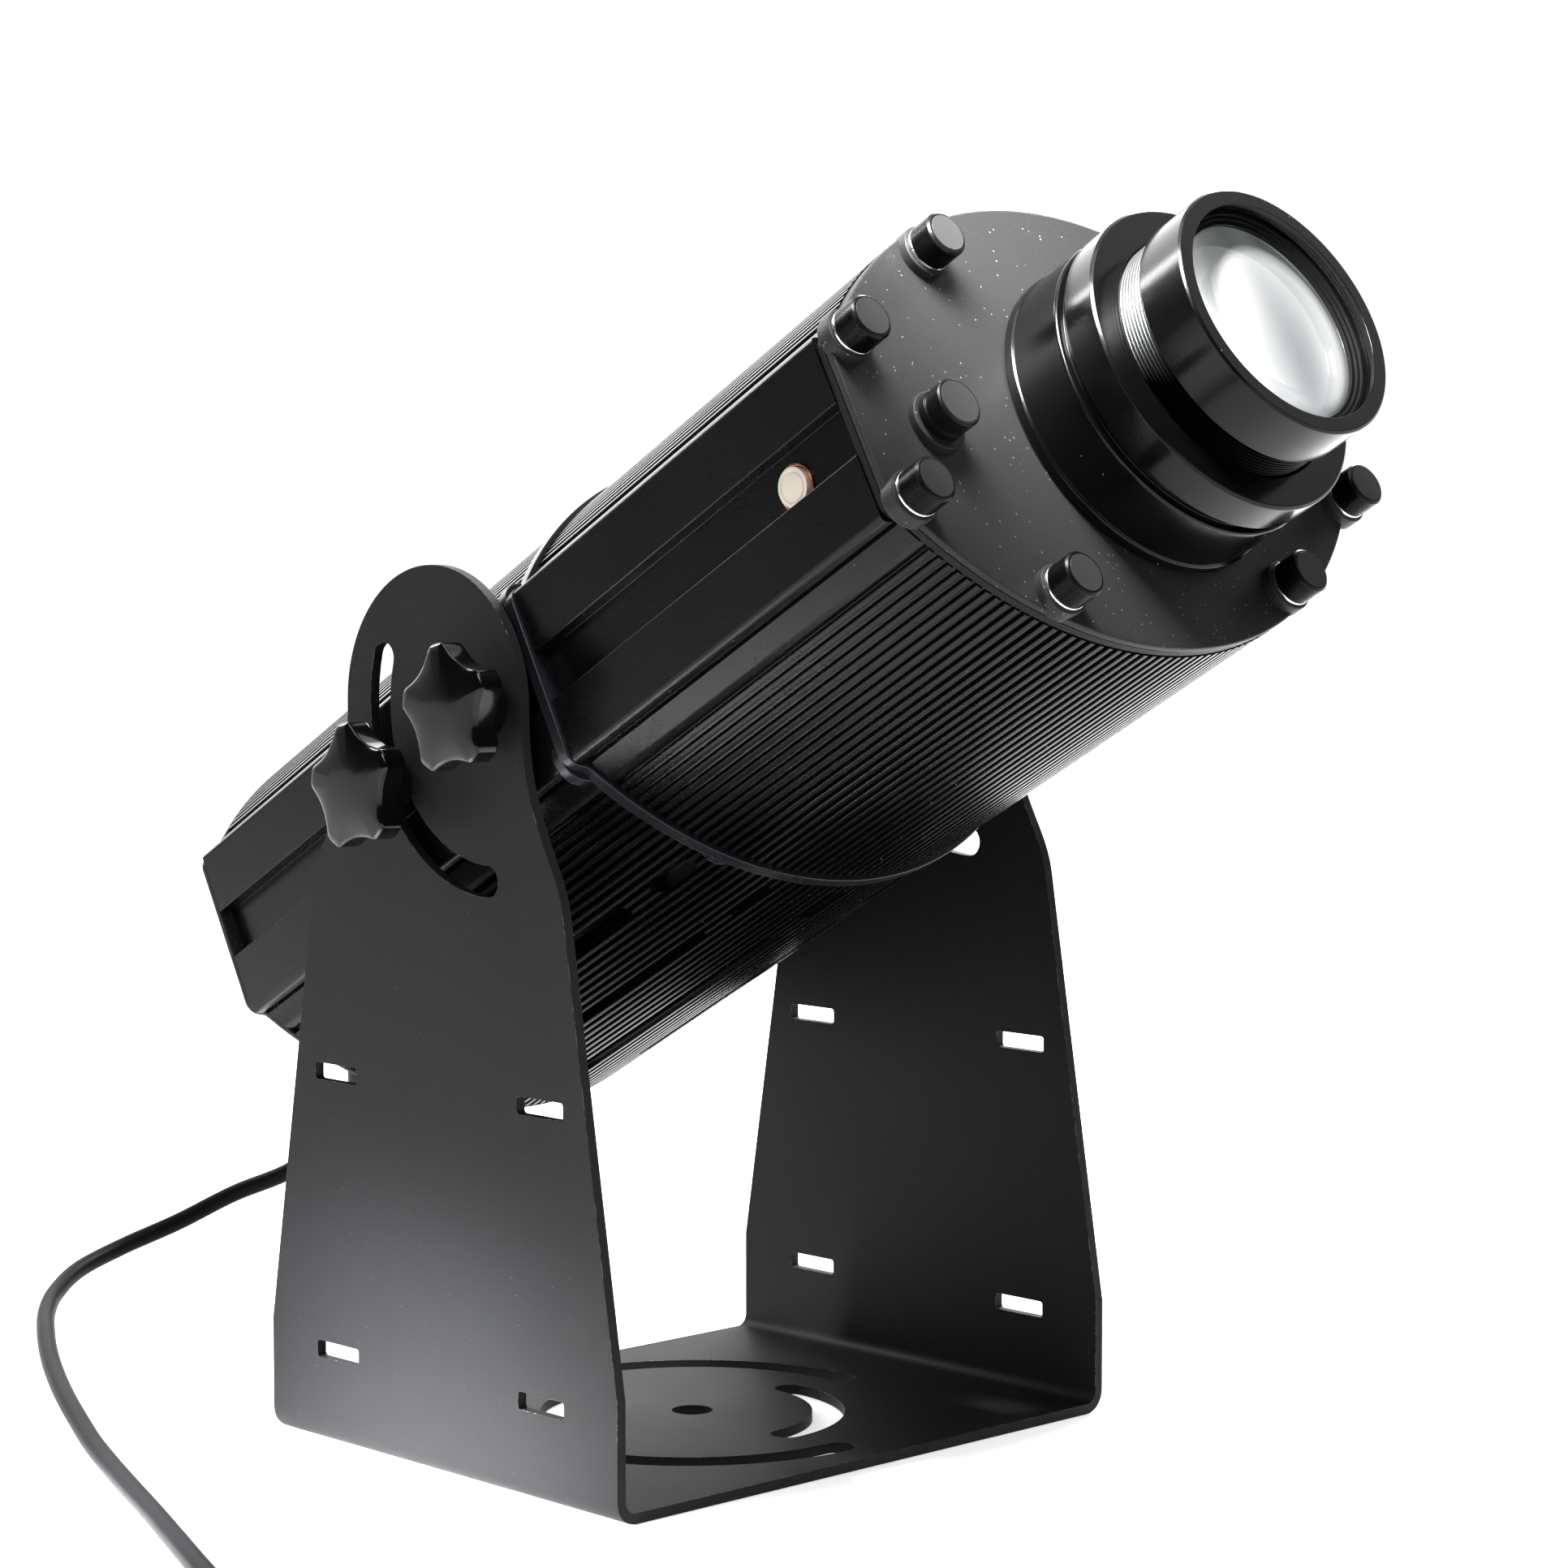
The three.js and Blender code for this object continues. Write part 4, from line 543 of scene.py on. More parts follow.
def turned(profile: Array, segments: int, swell: Callable[[Array, Array], Array] | None = None) -> Shell:
    """A profile of radius and height turned round the Z axis: (r cos a, r sin a, h).

    Args:
        profile: radius and height, one point a row. It closes on itself, or starts and ends on the axis.
        segments: how many steps the turn has.
        swell: a factor for the radius that depends on the angle and the height.

    Returns:
        A closed shell.
    """
    on_axis = profile[0, 0] < 1e-9 and profile[-1, 0] < 1e-9
    ring = profile[1:-1] if on_axis else profile
    angle = np.linspace(0, FULL_TURN, segments, endpoint=False)[None, :]
    radius, height = ring[:, :1], ring[:, 1:]
    radius = radius * (swell(angle, height) if swell else np.ones_like(angle))
    places = [radius * np.cos(angle), radius * np.sin(angle), height + 0 * angle]
    points = np.stack(places, axis=-1).reshape(-1, 3)
    faces = grid_faces(len(ring), segments, wrap_rows=not on_axis)
    if not on_axis:
        return Shell(points, faces)
    first, last = len(points), len(points) + 1
    poles = np.array([[0, 0, profile[0, 1]], [0, 0, profile[-1, 1]]])
    around = np.arange(segments)
    beside = (around + 1) % segments
    end = (len(ring) - 1) * segments
    faces += np.stack([beside, around, np.full(segments, first)], axis=1).tolist()
    faces += np.stack([end + around, end + beside, np.full(segments, last)], axis=1).tolist()
    return Shell(np.vstack([points, poles]), faces)


def puck(radius: float, low: float, high: float, edge: float, steps: int = 3) -> Array:
    """The profile of a round solid with rounded edges, between two heights."""
    return eased([[0, low], [radius, low], [radius, high], [0, high]], edge, steps=steps)


def hoop(inner: float, outer: float, low: float, high: float, edge: float) -> Array:
    """The profile of a flat ring with rounded edges, between two heights."""
    return eased([[inner, low], [outer, low], [outer, high], [inner, high]], edge, closed=True)


def layer(outline: Array, height: float) -> Array:
    """A flat outline at one height."""
    return np.column_stack([outline, np.full(len(outline), height)])


def stacked(rings: Sequence[Array], wrap: bool = False) -> Shell:
    """Rings of points joined in order. The last joins the first, or flat ends close them."""
    count = len(rings[0])
    faces = grid_faces(len(rings), count, wrap_rows=wrap)
    if not wrap:
        end = (len(rings) - 1) * count
        faces += [list(range(count))[::-1], list(range(end, end + count))]
    return Shell(np.vstack(rings), faces)


def prism(outline: Array, low: float, high: float) -> Shell:
    """An outline carried straight along Z between two heights, with flat ends."""
    return stacked([layer(outline, low), layer(outline, high)])


def inset(outline: Array, amount: float) -> Array:
    """An outline drawn in by a small amount along its inward normals. It runs anticlockwise."""
    along = np.roll(outline, -1, axis=0) - np.roll(outline, 1, axis=0)
    along = along / np.linalg.norm(along, axis=1, keepdims=True)
    return outline + amount * np.stack([-along[:, 1], along[:, 0]], axis=1)


def plate(outline: Array, low: float, high: float, edge: float, centre: tuple[float, float] = (0, 0),
          hole: float = 0) -> Shell:
    """A flat plate with rounded outer edges.

    Its rows are copies of the outline, drawn in along the rounding, then circles of the hole: each
    point of a circle lies on the line from the centre to its point of the outline.

    Args:
        outline: the plate's outline, anticlockwise.
        low: the height of its rear.
        high: the height of its face.
        edge: the radius of its outer edges.
        centre: the middle of the hole.
        hole: the hole's radius, or zero for a plate with none.

    Returns:
        A closed shell.
    """
    reach = 0.003
    rim = eased([[reach, low], [0.0, low], [0.0, high], [reach, high]], edge)
    rows = [layer(inset(outline, amount), height) for amount, height in rim]
    if hole > 0:
        ray = outline - np.array(centre)
        ray = ray / np.linalg.norm(ray, axis=1, keepdims=True)
        lip = eased([[hole + reach, high], [hole, high], [hole, low], [hole + reach, low]], edge / 2)
        rows += [layer(np.array(centre) + ray * radius, height) for radius, height in lip]
    return stacked(rows, wrap=hole > 0)


def arc(centre: tuple[float, float], radius: float, start: float, end: float, steps: int) -> Array:
    """Points on an arc, centre + radius * (cos a, sin a), with both ends."""
    angle = np.linspace(start, end, steps + 1)
    return np.stack([centre[0] + radius * np.cos(angle), centre[1] + radius * np.sin(angle)], axis=1)


def round_slot(radius: float, width: float, start: float, end: float, steps: int = 28) -> Array:
    """The outline of a slot with round ends that follows an arc about the origin."""
    half = width / 2
    end_middle = (radius * math.cos(end), radius * math.sin(end))
    start_middle = (radius * math.cos(start), radius * math.sin(start))
    return np.vstack([
        arc((0, 0), radius + half, start, end, steps),
        arc(end_middle, half, end, end + math.pi, 10)[1:-1],
        arc((0, 0), radius - half, end, start, steps),
        arc(start_middle, half, start + math.pi, start + FULL_TURN, 10)[1:-1],
    ])


def long_slot(length: float, width: float, corner: float) -> Array:
    """The outline of a straight slot, long along its first axis, with rounded corners."""
    x, y = length / 2, width / 2
    return eased([[x, -y], [x, y], [-x, y], [-x, -y]], corner, closed=True, steps=5)


@dataclass
class Piece:
    """One shown piece of the object: its shell, its finishes, and what it rides on and stands for."""

    name: str
    shell: Shell
    finishes: Sequence[Surface]
    body: Body | str
    slot: Slot
    replaces: Sequence[str] = ()
    sharp: float = 32.0
    cutters: Sequence[Shell] = ()
    kept_within: Shell | None = None
    edge_width: float = 0.0

    def make(self) -> bpy.types.Object:
        """Builds the object, cuts it, rounds its edges, dresses it and ties it to the frame."""
        made = mesh_object(self.name, self.shell)
        if self.kept_within is not None:
            carve(made, mesh_object(f"{self.name}_outline", self.kept_within), "INTERSECT")
        for cutter in self.cutters:
            carve(made, mesh_object(f"{self.name}_cutter", cutter))
        if self.edge_width > 0:
            self.round_edges(made)
        made.data.materials.clear()
        for finish in self.finishes:
            made.data.materials.append(finish.material())
        shade(made.data, self.sharp)
        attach(made, self.body.value if isinstance(self.body, Body) else self.body)
        if self.replaces:
            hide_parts(*self.replaces)
        LOG.info("%s: %d faces", self.name, len(made.data.polygons))
        return made

    def round_edges(self, made: bpy.types.Object) -> None:
        """Rounds the sharp edges, and gives the new faces the second finish."""
        modifier = made.modifiers.new("edges", "BEVEL")
        modifier.width = self.edge_width
        modifier.segments = 2
        modifier.limit_method = "ANGLE"
        modifier.angle_limit = math.radians(50)
        modifier.material = len(self.finishes) - 1


def show(name: str, shell: Shell, finish: Surface, body: Body | str, slot: Slot, *replaces: str,
         **options: object) -> None:
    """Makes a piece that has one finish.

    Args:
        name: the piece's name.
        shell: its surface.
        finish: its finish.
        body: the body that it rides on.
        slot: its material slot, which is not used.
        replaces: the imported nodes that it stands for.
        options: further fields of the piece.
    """
    Piece(name, shell, (finish,), body, slot, replaces, **options).make()


def mesh_object(name: str, shell: Shell) -> bpy.types.Object:
    """An object at the origin with a shell as its mesh, its faces pointing outwards."""
    mesh = bpy.data.meshes.new(name)
    mesh.from_pydata(shell.points.tolist(), [], shell.faces)
    sorted_mesh = bmesh.new()
    sorted_mesh.from_mesh(mesh)
    bmesh.ops.recalc_face_normals(sorted_mesh, faces=sorted_mesh.faces)
    sorted_mesh.to_mesh(mesh)
    sorted_mesh.free()
    made = bpy.data.objects.new(name, mesh)
    bpy.context.scene.collection.objects.link(made)
    return made


def shade(mesh: bpy.types.Mesh, sharp: float) -> None:
    """Shades a mesh smoothly, but for the edges that turn by more than an angle in degrees."""
    mesh.polygons.foreach_set("use_smooth", np.ones(len(mesh.polygons), bool))
    mesh.set_sharp_from_angle(angle=math.radians(sharp))


def carve(made: bpy.types.Object, cutter: bpy.types.Object, operation: str = "DIFFERENCE") -> None:
    """Cuts an object by another, keeps the result as its mesh and removes the cutter."""
    modifier = made.modifiers.new("cut", "BOOLEAN")
    modifier.solver = "MANIFOLD"
    modifier.operation = operation
    modifier.object = cutter
    made.modifiers.update()
    result = bpy.data.meshes.new_from_object(made.evaluated_get(bpy.context.evaluated_depsgraph_get()))
    old = made.data
    made.modifiers.clear()
    made.data = result
    result.name = made.name
    bpy.data.meshes.remove(old)
    used = cutter.data
    bpy.data.objects.remove(cutter)
    bpy.data.meshes.remove(used)


# Camera and studio


def set_looking(name: str, data: bpy.types.ID, place: tuple[float, float, float],
                direction: Vector) -> bpy.types.Object:
    """An object with a camera or a lamp at a place, looking in a direction."""
    made = bpy.data.objects.new(name, data)
    made.location = place
    made.rotation_mode = "QUATERNION"
    made.rotation_quaternion = direction.to_track_quat("-Z", "Y")
    bpy.context.scene.collection.objects.link(made)
    return made


@dataclass(frozen=True)
class Studio:
    """The camera, the pale floor and the soft light round the object."""

    camera_place: tuple[float, float, float] = (-1.0013, -1.0990, 0.3575)
    azimuth: float = math.radians(-43.75)
    elevation: float = math.radians(3.95)
    focal_length_mm: float = 86.52
    floor_radius: float = 9.0
    floor_drop: float = 0.0004
    backdrop: tuple[tuple[float, tuple], ...] = ((0.54, (0.008, 0.008, 0.009, 1)), (0.76, (1.0, 1.0, 1.0, 1)))
    world_strength: float = 1.05

    def build(self) -> None:
        """Makes the camera, the floor, the lights and the world."""
        self.place_camera()
        self.lay_floor()
        self.hang_lights()
        self.light_world()
        bpy.context.scene.view_settings.view_transform = "Standard"
        LOG.info("studio: camera, floor and lights")

    def place_camera(self) -> None:
        """Puts the camera at the photograph's place, looking along its line of sight."""
        data = bpy.data.cameras.new("camera")
        data.sensor_width = 36.0
        data.lens = self.focal_length_mm
        data.clip_end = 100.0
        level = math.cos(self.elevation)
        across, ahead = math.sin(self.azimuth), math.cos(self.azimuth)
        back = Vector((across * level, -ahead * level, math.sin(self.elevation)))
        bpy.context.scene.camera = set_looking("camera", data, self.camera_place, -back)

    def lay_floor(self) -> None:
        """Lays a round white floor just under the object."""
        edge = arc((0, 0), self.floor_radius, 0, FULL_TURN, 64)[:-1]
        floor = mesh_object("studio_floor", prism(edge, -0.05, -self.floor_drop))
        net = Net(bpy.data.materials.new("studio_floor"))
        cloud = net.noise(net.place_in_object(), 1.2)
        net.dress({
            "Base Color": net.blend(cloud, (0.9, 0.9, 0.9), (0.93, 0.93, 0.93)),
            "Roughness": 0.7,
            "Specular IOR Level": 0.2,
            "Emission Color": (1, 1, 1, 1),
            "Emission Strength": 0.66,
        })
        floor.data.materials.append(net.owner)

    def hang_lights(self) -> None:
        """Hangs soft boxes round the object, and a narrow one for the foot of the left arm."""
        self.soft_box("soft_left", (-1.5, -0.5, 1.5), (-0.1, 0, 0.2), 0.6, 0.6, 10)
        self.soft_box("soft_strip", (-0.45, 1.3, 1.25), (0, -0.2, 0.4), 0.22, 0.8, 14)
        self.soft_box("soft_near", (-0.12, -0.25, 0.61), (0.0, -0.2, 0.48), 0.16, 0.1, 2.7, 90)
        self.soft_box("soft_low", (-0.9, 0.22, 0.26), (-0.13, 0, -0.05), 0.12, 0.05, 1.7, 22)
        self.soft_box("soft_above", (-0.2, -0.2, 2.2), (0, -0.1, 0.2), 1.2, 1.2, 14)
        self.soft_box("soft_behind", (0.6, 2.1, 1.3), (0, 0, 0.3), 2.4, 1.6, 30)
        self.soft_box("soft_right", (1.15, 0.45, 1.1), (1.15, 0.45, 0.0), 0.7, 0.7, 45)

    def soft_box(self, name: str, place: tuple[float, float, float], aim: tuple[float, float, float],
                 width: float, height: float, power: float, spread: float = 180.0) -> None:
        """Hangs one rectangular lamp.

        Args:
            name: its name.
            place: where it hangs.
            aim: the point that it faces.
            width: its width.
            height: its height.
            power: its power in watts.
            spread: the angle of its beam in degrees, 180 for a bare soft box and less for one with a grid.
        """
        data = bpy.data.lights.new(name, "AREA")
        data.shape = "RECTANGLE"
        data.size = width
        data.size_y = height
        data.energy = power
        data.spread = math.radians(spread)
        set_looking(name, data, place, Vector(aim) - Vector(place))

    def light_world(self) -> None:
        """Lights the world: white behind the object as the photograph shows it, and dark before it."""
        world = bpy.data.worlds.new("studio")
        bpy.context.scene.world = world
        net = Net(world, "Background")
        place = net.node("ShaderNodeTexCoord", {}, {}).outputs["Generated"]
        ahead = (math.sin(-self.azimuth), math.cos(self.azimuth), 0.0)
        along = net.node("ShaderNodeVectorMath", {"operation": "DOT_PRODUCT"}, {0: place, 1: ahead})
        share = Value(net, along.outputs["Value"]) * 0.5 + 0.5
        ramp = net.node("ShaderNodeValToRGB", {"stops": self.backdrop}, {0: share})
        net.dress({"Color": ramp.outputs[0], "Strength": self.world_strength})


# Cord

# The cord's route from the end of its guard to the start of its coil, as in the part's source
CORD_ROUTE = [
    (0.000, 0.202, 0.160), (0.012, 0.234, 0.138), (0.032, 0.261, 0.115), (0.051, 0.288, 0.092),
    (0.062, 0.320, 0.068), (0.060, 0.352, 0.049), (0.045, 0.376, 0.037), (0.022, 0.388, 0.025),
    (-0.008, 0.391, 0.0165), (-0.038, 0.382, 0.011), (-0.064, 0.362, 0.0065), (-0.084, 0.338, 0.0045),
    (-0.107, 0.303, 0.0041), (-0.131, 0.263, 0.0041), (-0.153, 0.223, 0.0041), (-0.172, 0.186, 0.0041),
    (-0.189, 0.151, 0.0041), (-0.205, 0.117, 0.0041), (-0.219, 0.084, 0.0041), (-0.232, 0.052, 0.0041),
    (-0.246, 0.017, 0.0041), (-0.260, -0.017, 0.0041), (-0.274, -0.051, 0.0041), (-0.288, -0.086, 0.0041),
    (-0.301, -0.121, 0.0041), (-0.314, -0.156, 0.0041),
]


def smooth_line(points: Array, steps: int) -> Array:
    """A smooth line through points: the centripetal Catmull-Rom curve.

    Each span is the cubic with the points' places at its ends and, there, the slopes of the curve
    that passes through the neighbours at times which grow with the root of the distance.

    Args:
        points: the points to pass through.
        steps: how many pieces each span has.

    Returns:
        The line's points.
    """
    spread = np.vstack([2 * points[0] - points[1], points, 2 * points[-1] - points[-2]])
    p0, p1, p2, p3 = spread[:-3], spread[1:-2], spread[2:-1], spread[3:]
    spans = ((p0, p1), (p1, p2), (p2, p3))
    d0, d1, d2 = (np.sqrt(np.linalg.norm(b - a, axis=1, keepdims=True)) for a, b in spans)
    start = ((p1 - p0) / d0 - (p2 - p0) / (d0 + d1) + (p2 - p1) / d1) * d1
    end = ((p2 - p1) / d1 - (p3 - p1) / (d1 + d2) + (p3 - p2) / d2) * d1
    share = np.linspace(0, 1, steps, endpoint=False)[None, :, None]
    p1, p2, start, end = (item[:, None] for item in (p1, p2, start, end))
    line = (p1 * (2 * share ** 3 - 3 * share ** 2 + 1) + start * (share ** 3 - 2 * share ** 2 + share)
            + p2 * (3 * share ** 2 - 2 * share ** 3) + end * (share ** 3 - share ** 2))
    return np.vstack([line.reshape(-1, 3), points[-1:]])


def tube(line: Array, radius: float, sides: int) -> Shell:
    """A round tube along a line, with flat ends.

    Each ring lies square to the line: point + radius * (side cos a + up sin a). Side stays level
    where the line allows it, as up and the line's direction give it.

    Args:
        line: the points of the middle.
        radius: the tube's radius.
        sides: how many points a ring has.

    Returns:
        A closed shell.
    """
    ahead = np.gradient(line, axis=0)
    ahead = ahead / np.linalg.norm(ahead, axis=1, keepdims=True)
    side = np.cross(np.array([0.0, 0.0, 1.0]), ahead)
    side = side / np.linalg.norm(side, axis=1, keepdims=True)
    up = np.cross(ahead, side)
    angle = np.linspace(0, FULL_TURN, sides, endpoint=False)[None, :, None]
    rings = line[:, None] + radius * (side[:, None] * np.cos(angle) + up[:, None] * np.sin(angle))
    return stacked(rings)


@dataclass(frozen=True)
class MainsCord:
    """The mains cord: out of its guard, down to the floor, and away to a coil with its plug."""

    radius: float = 0.004
    length: float = 1.5
    guard_end: float = -0.2548
    coil_mid_radius: float = 0.040
    turn_pitch: float = 0.0086
    inward_share: float = 0.25
    tail: float = 0.042
    gap: float = 0.0003
    steps_a_turn: int = 72

    def line(self) -> Array:
        """The middle of the whole cord, from the guard to the plug."""
        start = HEAD.moved(0.0, 0.0, self.guard_end).origin
        free = smooth_line(np.vstack([start, CORD_ROUTE]), 10)
        free_length = np.linalg.norm(np.diff(free, axis=0), axis=1).sum()
        heading = self.level_direction(free)
        straight = 2 * self.radius
        wound = self.length - free_length - straight - self.tail
        turns_each_way = (wound / (FULL_TURN * self.coil_mid_radius) - 0.5) / 2
        coil = self.coil(free[-1], heading, straight, turns_each_way)
        tail = coil[-1] + np.linspace(0.2, 1.0, 6)[:, None] * self.tail * self.level_direction(coil)
        return np.vstack([free, coil, tail])

    def level_direction(self, line: Array) -> Array:
        """The level direction in which a line ends."""
        heading = (line[-1] - line[-2]) * np.array([1.0, 1.0, 0.0])
        return heading / np.linalg.norm(heading)

    def coil(self, start: Array, heading: Array, straight: float, turns_each_way: float) -> Array:
        """The coil's middle: in along the floor, up a layer in half a turn, and out again.

        A point lies at the coil's centre - side * r cos a + heading * r sin a, with a growing by a
        full turn each turn and r changing evenly with it.

        Args:
            start: where the free stretch ends.
            heading: its direction there.
            straight: the length between it and the first turn.
            turns_each_way: how many turns each layer has.

        Returns:
            The coil's points.
        """
        half_band = self.turn_pitch / 2
        outer = self.coil_mid_radius + half_band * turns_each_way
        inner = outer - self.turn_pitch * turns_each_way
        whole = 2 * turns_each_way + 0.5
        turn = np.linspace(0, whole, round(whole * self.steps_a_turn) + 1)
        climb = np.clip((turn - turns_each_way) / 0.5, 0, 1)
        out = np.maximum(turn - turns_each_way - 0.5, 0)
        radius = np.where(
            turn <= turns_each_way, outer - self.turn_pitch * turn, inner + self.turn_pitch * out)
        radius = radius - half_band * self.inward_share * np.sin(math.pi * climb)
        height = self.turn_pitch * (1 - np.cos(math.pi * climb)) / 2
        side = np.array([heading[1], -heading[0], 0.0])
        centre = start + heading * (straight + self.gap) + side * outer
        angle = FULL_TURN * turn
        return (centre + np.outer(-radius * np.cos(angle), side) + np.outer(radius * np.sin(angle), heading)
                + np.outer(height, [0, 0, 1]))

    def build(self) -> None:
        line = self.line()
        made = mesh_object("mains_cord", tube(line, self.radius, 20))
        made.data.materials.append(SHEATH.material())
        shade(made.data, 50)
        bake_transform(made)
        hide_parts("power_cord", "cord_coil")
        length = float(np.linalg.norm(np.diff(line, axis=0), axis=1).sum())
        LOG.info("mains_cord: %.3f m of %.3f m", length, self.length)


# Yoke


@dataclass(frozen=True)
class Yoke:
    """The bent sheet that holds the head: a base and two arms, with all their holes and slots."""

    width: float = 0.260
    depth: float = 0.206
    sheet: float = 0.004
    bend_radius: float = 0.005
    straight_height: float = 0.045
    neck: tuple[float, float] = (0.0745, 0.216)
    shoulder: tuple[float, float] = (0.062, 0.245)
    head_radius: float = 0.0514
    head_height: float = 0.291
    shoulder_turn: float = math.radians(9)
    handle_share: float = 0.4
    lock_radius: float = 0.064
    lock_slot_width: float = 0.012
    lock_slot_ends: tuple[float, float] = (math.radians(-89), math.radians(15))
    stud_hole_radius: float = 0.0055
    bolt_hole_radius: float = 0.00825
    inner_slot_radius: float = 0.0545
    outer_slot_radius: float = 0.0835
    base_slot_width: float = 0.013
    strap_slot: tuple[float, float] = (0.026, 0.0066)
    strap_corner: float = 0.22 * 0.0066
    strap_slot_half_spacing: float = 0.0608
    strap_slot_heights: tuple[float, float] = (0.0373, 0.1463)
    overrun: float = 0.01
    edge_width: float = 0.00055

    def sheet_outline(self) -> Array:
        """The sheet's section in X and Z: up one arm, across the base and up the other arm."""
        top = self.head_height + self.head_radius + self.overrun
        outer, inner = self.width / 2, self.width / 2 - self.sheet
        around = self.bend_radius + self.sheet
        centre = inner - self.bend_radius
        right_out = arc((centre, around), around, -QUARTER_TURN, 0, 8)
        right_in = arc((centre, around), self.bend_radius, 0, -QUARTER_TURN, 8)
        right = np.vstack([right_out, [[outer, top], [inner, top]], right_in])
        return np.vstack([right, right[::-1] * MIRROR])

    def arm_outline(self) -> Array:
        """The arm's outline in Y and Z: straight, tapering, then shouldered in to a round head."""
        neck, shoulder = np.array(self.neck), np.array(self.shoulder)
        head = np.array([self.head_radius, self.head_height])
        taper = neck - np.array([self.depth / 2, self.straight_height])
        taper = taper / np.linalg.norm(taper)
        slant = np.array([self.head_radius - self.neck[0], self.head_height - self.neck[1]])
        cos, sin = math.cos(self.shoulder_turn), math.sin(self.shoulder_turn)
        slant = np.array([slant[0] * cos - slant[1] * sin, slant[0] * sin + slant[1] * cos])
        slant = slant / np.linalg.norm(slant)
        low = (shoulder[1] - neck[1]) * self.handle_share
        high = (head[1] - shoulder[1]) * self.handle_share
        lower = self.bezier(neck, neck + taper * low, shoulder - slant * low, shoulder)
        upper = self.bezier(shoulder, shoulder + slant * high, head - np.array([0, high]), head)
        side = np.vstack([[[self.depth / 2, self.straight_height]], lower, upper[1:]])
        crown = arc((0, self.head_height), self.head_radius, 0, math.pi, 48)[1:-1]
        foot = np.array([[-self.depth / 2, -self.overrun], [self.depth / 2, -self.overrun]])
        return np.vstack([side, crown, side[::-1] * MIRROR, foot])

    def bezier(self, a: Array, b: Array, c: Array, d: Array, steps: int = 14) -> Array:
        """The cubic Bezier curve: a(1-t)^3 + 3bt(1-t)^2 + 3ct^2(1-t) + dt^3."""
        t = np.linspace(0, 1, steps + 1)[:, None]
        return a * (1 - t) ** 3 + 3 * b * t * (1 - t) ** 2 + 3 * c * t ** 2 * (1 - t) + d * t ** 3

    def across_arms(self, outline: Array, y: float, z: float) -> Shell:
        """A cutter through both arms, from an outline in Y and Z."""
        placement = Placement((0, y, z), (0, 1, 0), (0, 0, 1), (1, 0, 0))
        reach = self.width / 2 + self.overrun
        return prism(outline, -reach, reach).carried(placement)

    def through_base(self, outline: Array) -> Shell:
        """A cutter through the base, from an outline in X and Y."""
        return prism(outline, -self.overrun, self.sheet + self.overrun)

    def cutters(self) -> list[Shell]:
        """Every hole and slot."""
        hole = arc((0, 0), self.stud_hole_radius, 0, FULL_TURN, 32)[:-1]
        slot = round_slot(self.lock_radius, self.lock_slot_width, *self.lock_slot_ends)
        cutters = [self.across_arms(outline, *PIVOT[1:]) for outline in (slot, hole)]
        strap = long_slot(*self.strap_slot, self.strap_corner)
        for side in (-1, 1):
            for height in self.strap_slot_heights:
                cutters.append(self.across_arms(strap, side * self.strap_slot_half_spacing, height))
        cutters.append(self.through_base(arc((0, 0), self.bolt_hole_radius, 0, FULL_TURN, 48)[:-1]))
        for quarter in (0, 2):
            start = quarter * QUARTER_TURN
            middle = start + QUARTER_TURN
            outer = round_slot(self.outer_slot_radius, self.base_slot_width, start, middle)
            inner = round_slot(self.inner_slot_radius, self.base_slot_width, middle, middle + QUARTER_TURN)
            cutters += [self.through_base(outer), self.through_base(inner)]
        return cutters

    def build(self) -> None:
        """Builds the bracket and dresses it in powder coat, worn along its edges."""
        upright = Placement((0, 0, 0), (1, 0, 0), (0, 0, 1), (0, -1, 0))
        strip = prism(self.sheet_outline(), -self.depth / 2, self.depth / 2).carried(upright)
        arms = self.across_arms(self.arm_outline(), 0, 0)
        Piece("yoke", strip, (POWDER, POWDER_EDGE), Body.YOKE, Slot.POWDER, ("yoke_bracket",),
              cutters=self.cutters(), kept_within=arms, edge_width=self.edge_width).make()


# Housing


# One groove and one rib of the crown: a share of the pitch, and the depth there over the groove's
RIB = np.array([
    (0.0, 1.0), (0.15, 1.0), (0.205, 0.95), (0.235, 0.8), (0.25, 0.4), (0.27, 0.08), (0.31, 0.0),
    (0.5, -0.03), (0.69, 0.0), (0.73, 0.08), (0.75, 0.4), (0.765, 0.8), (0.795, 0.95), (0.85, 1.0)])


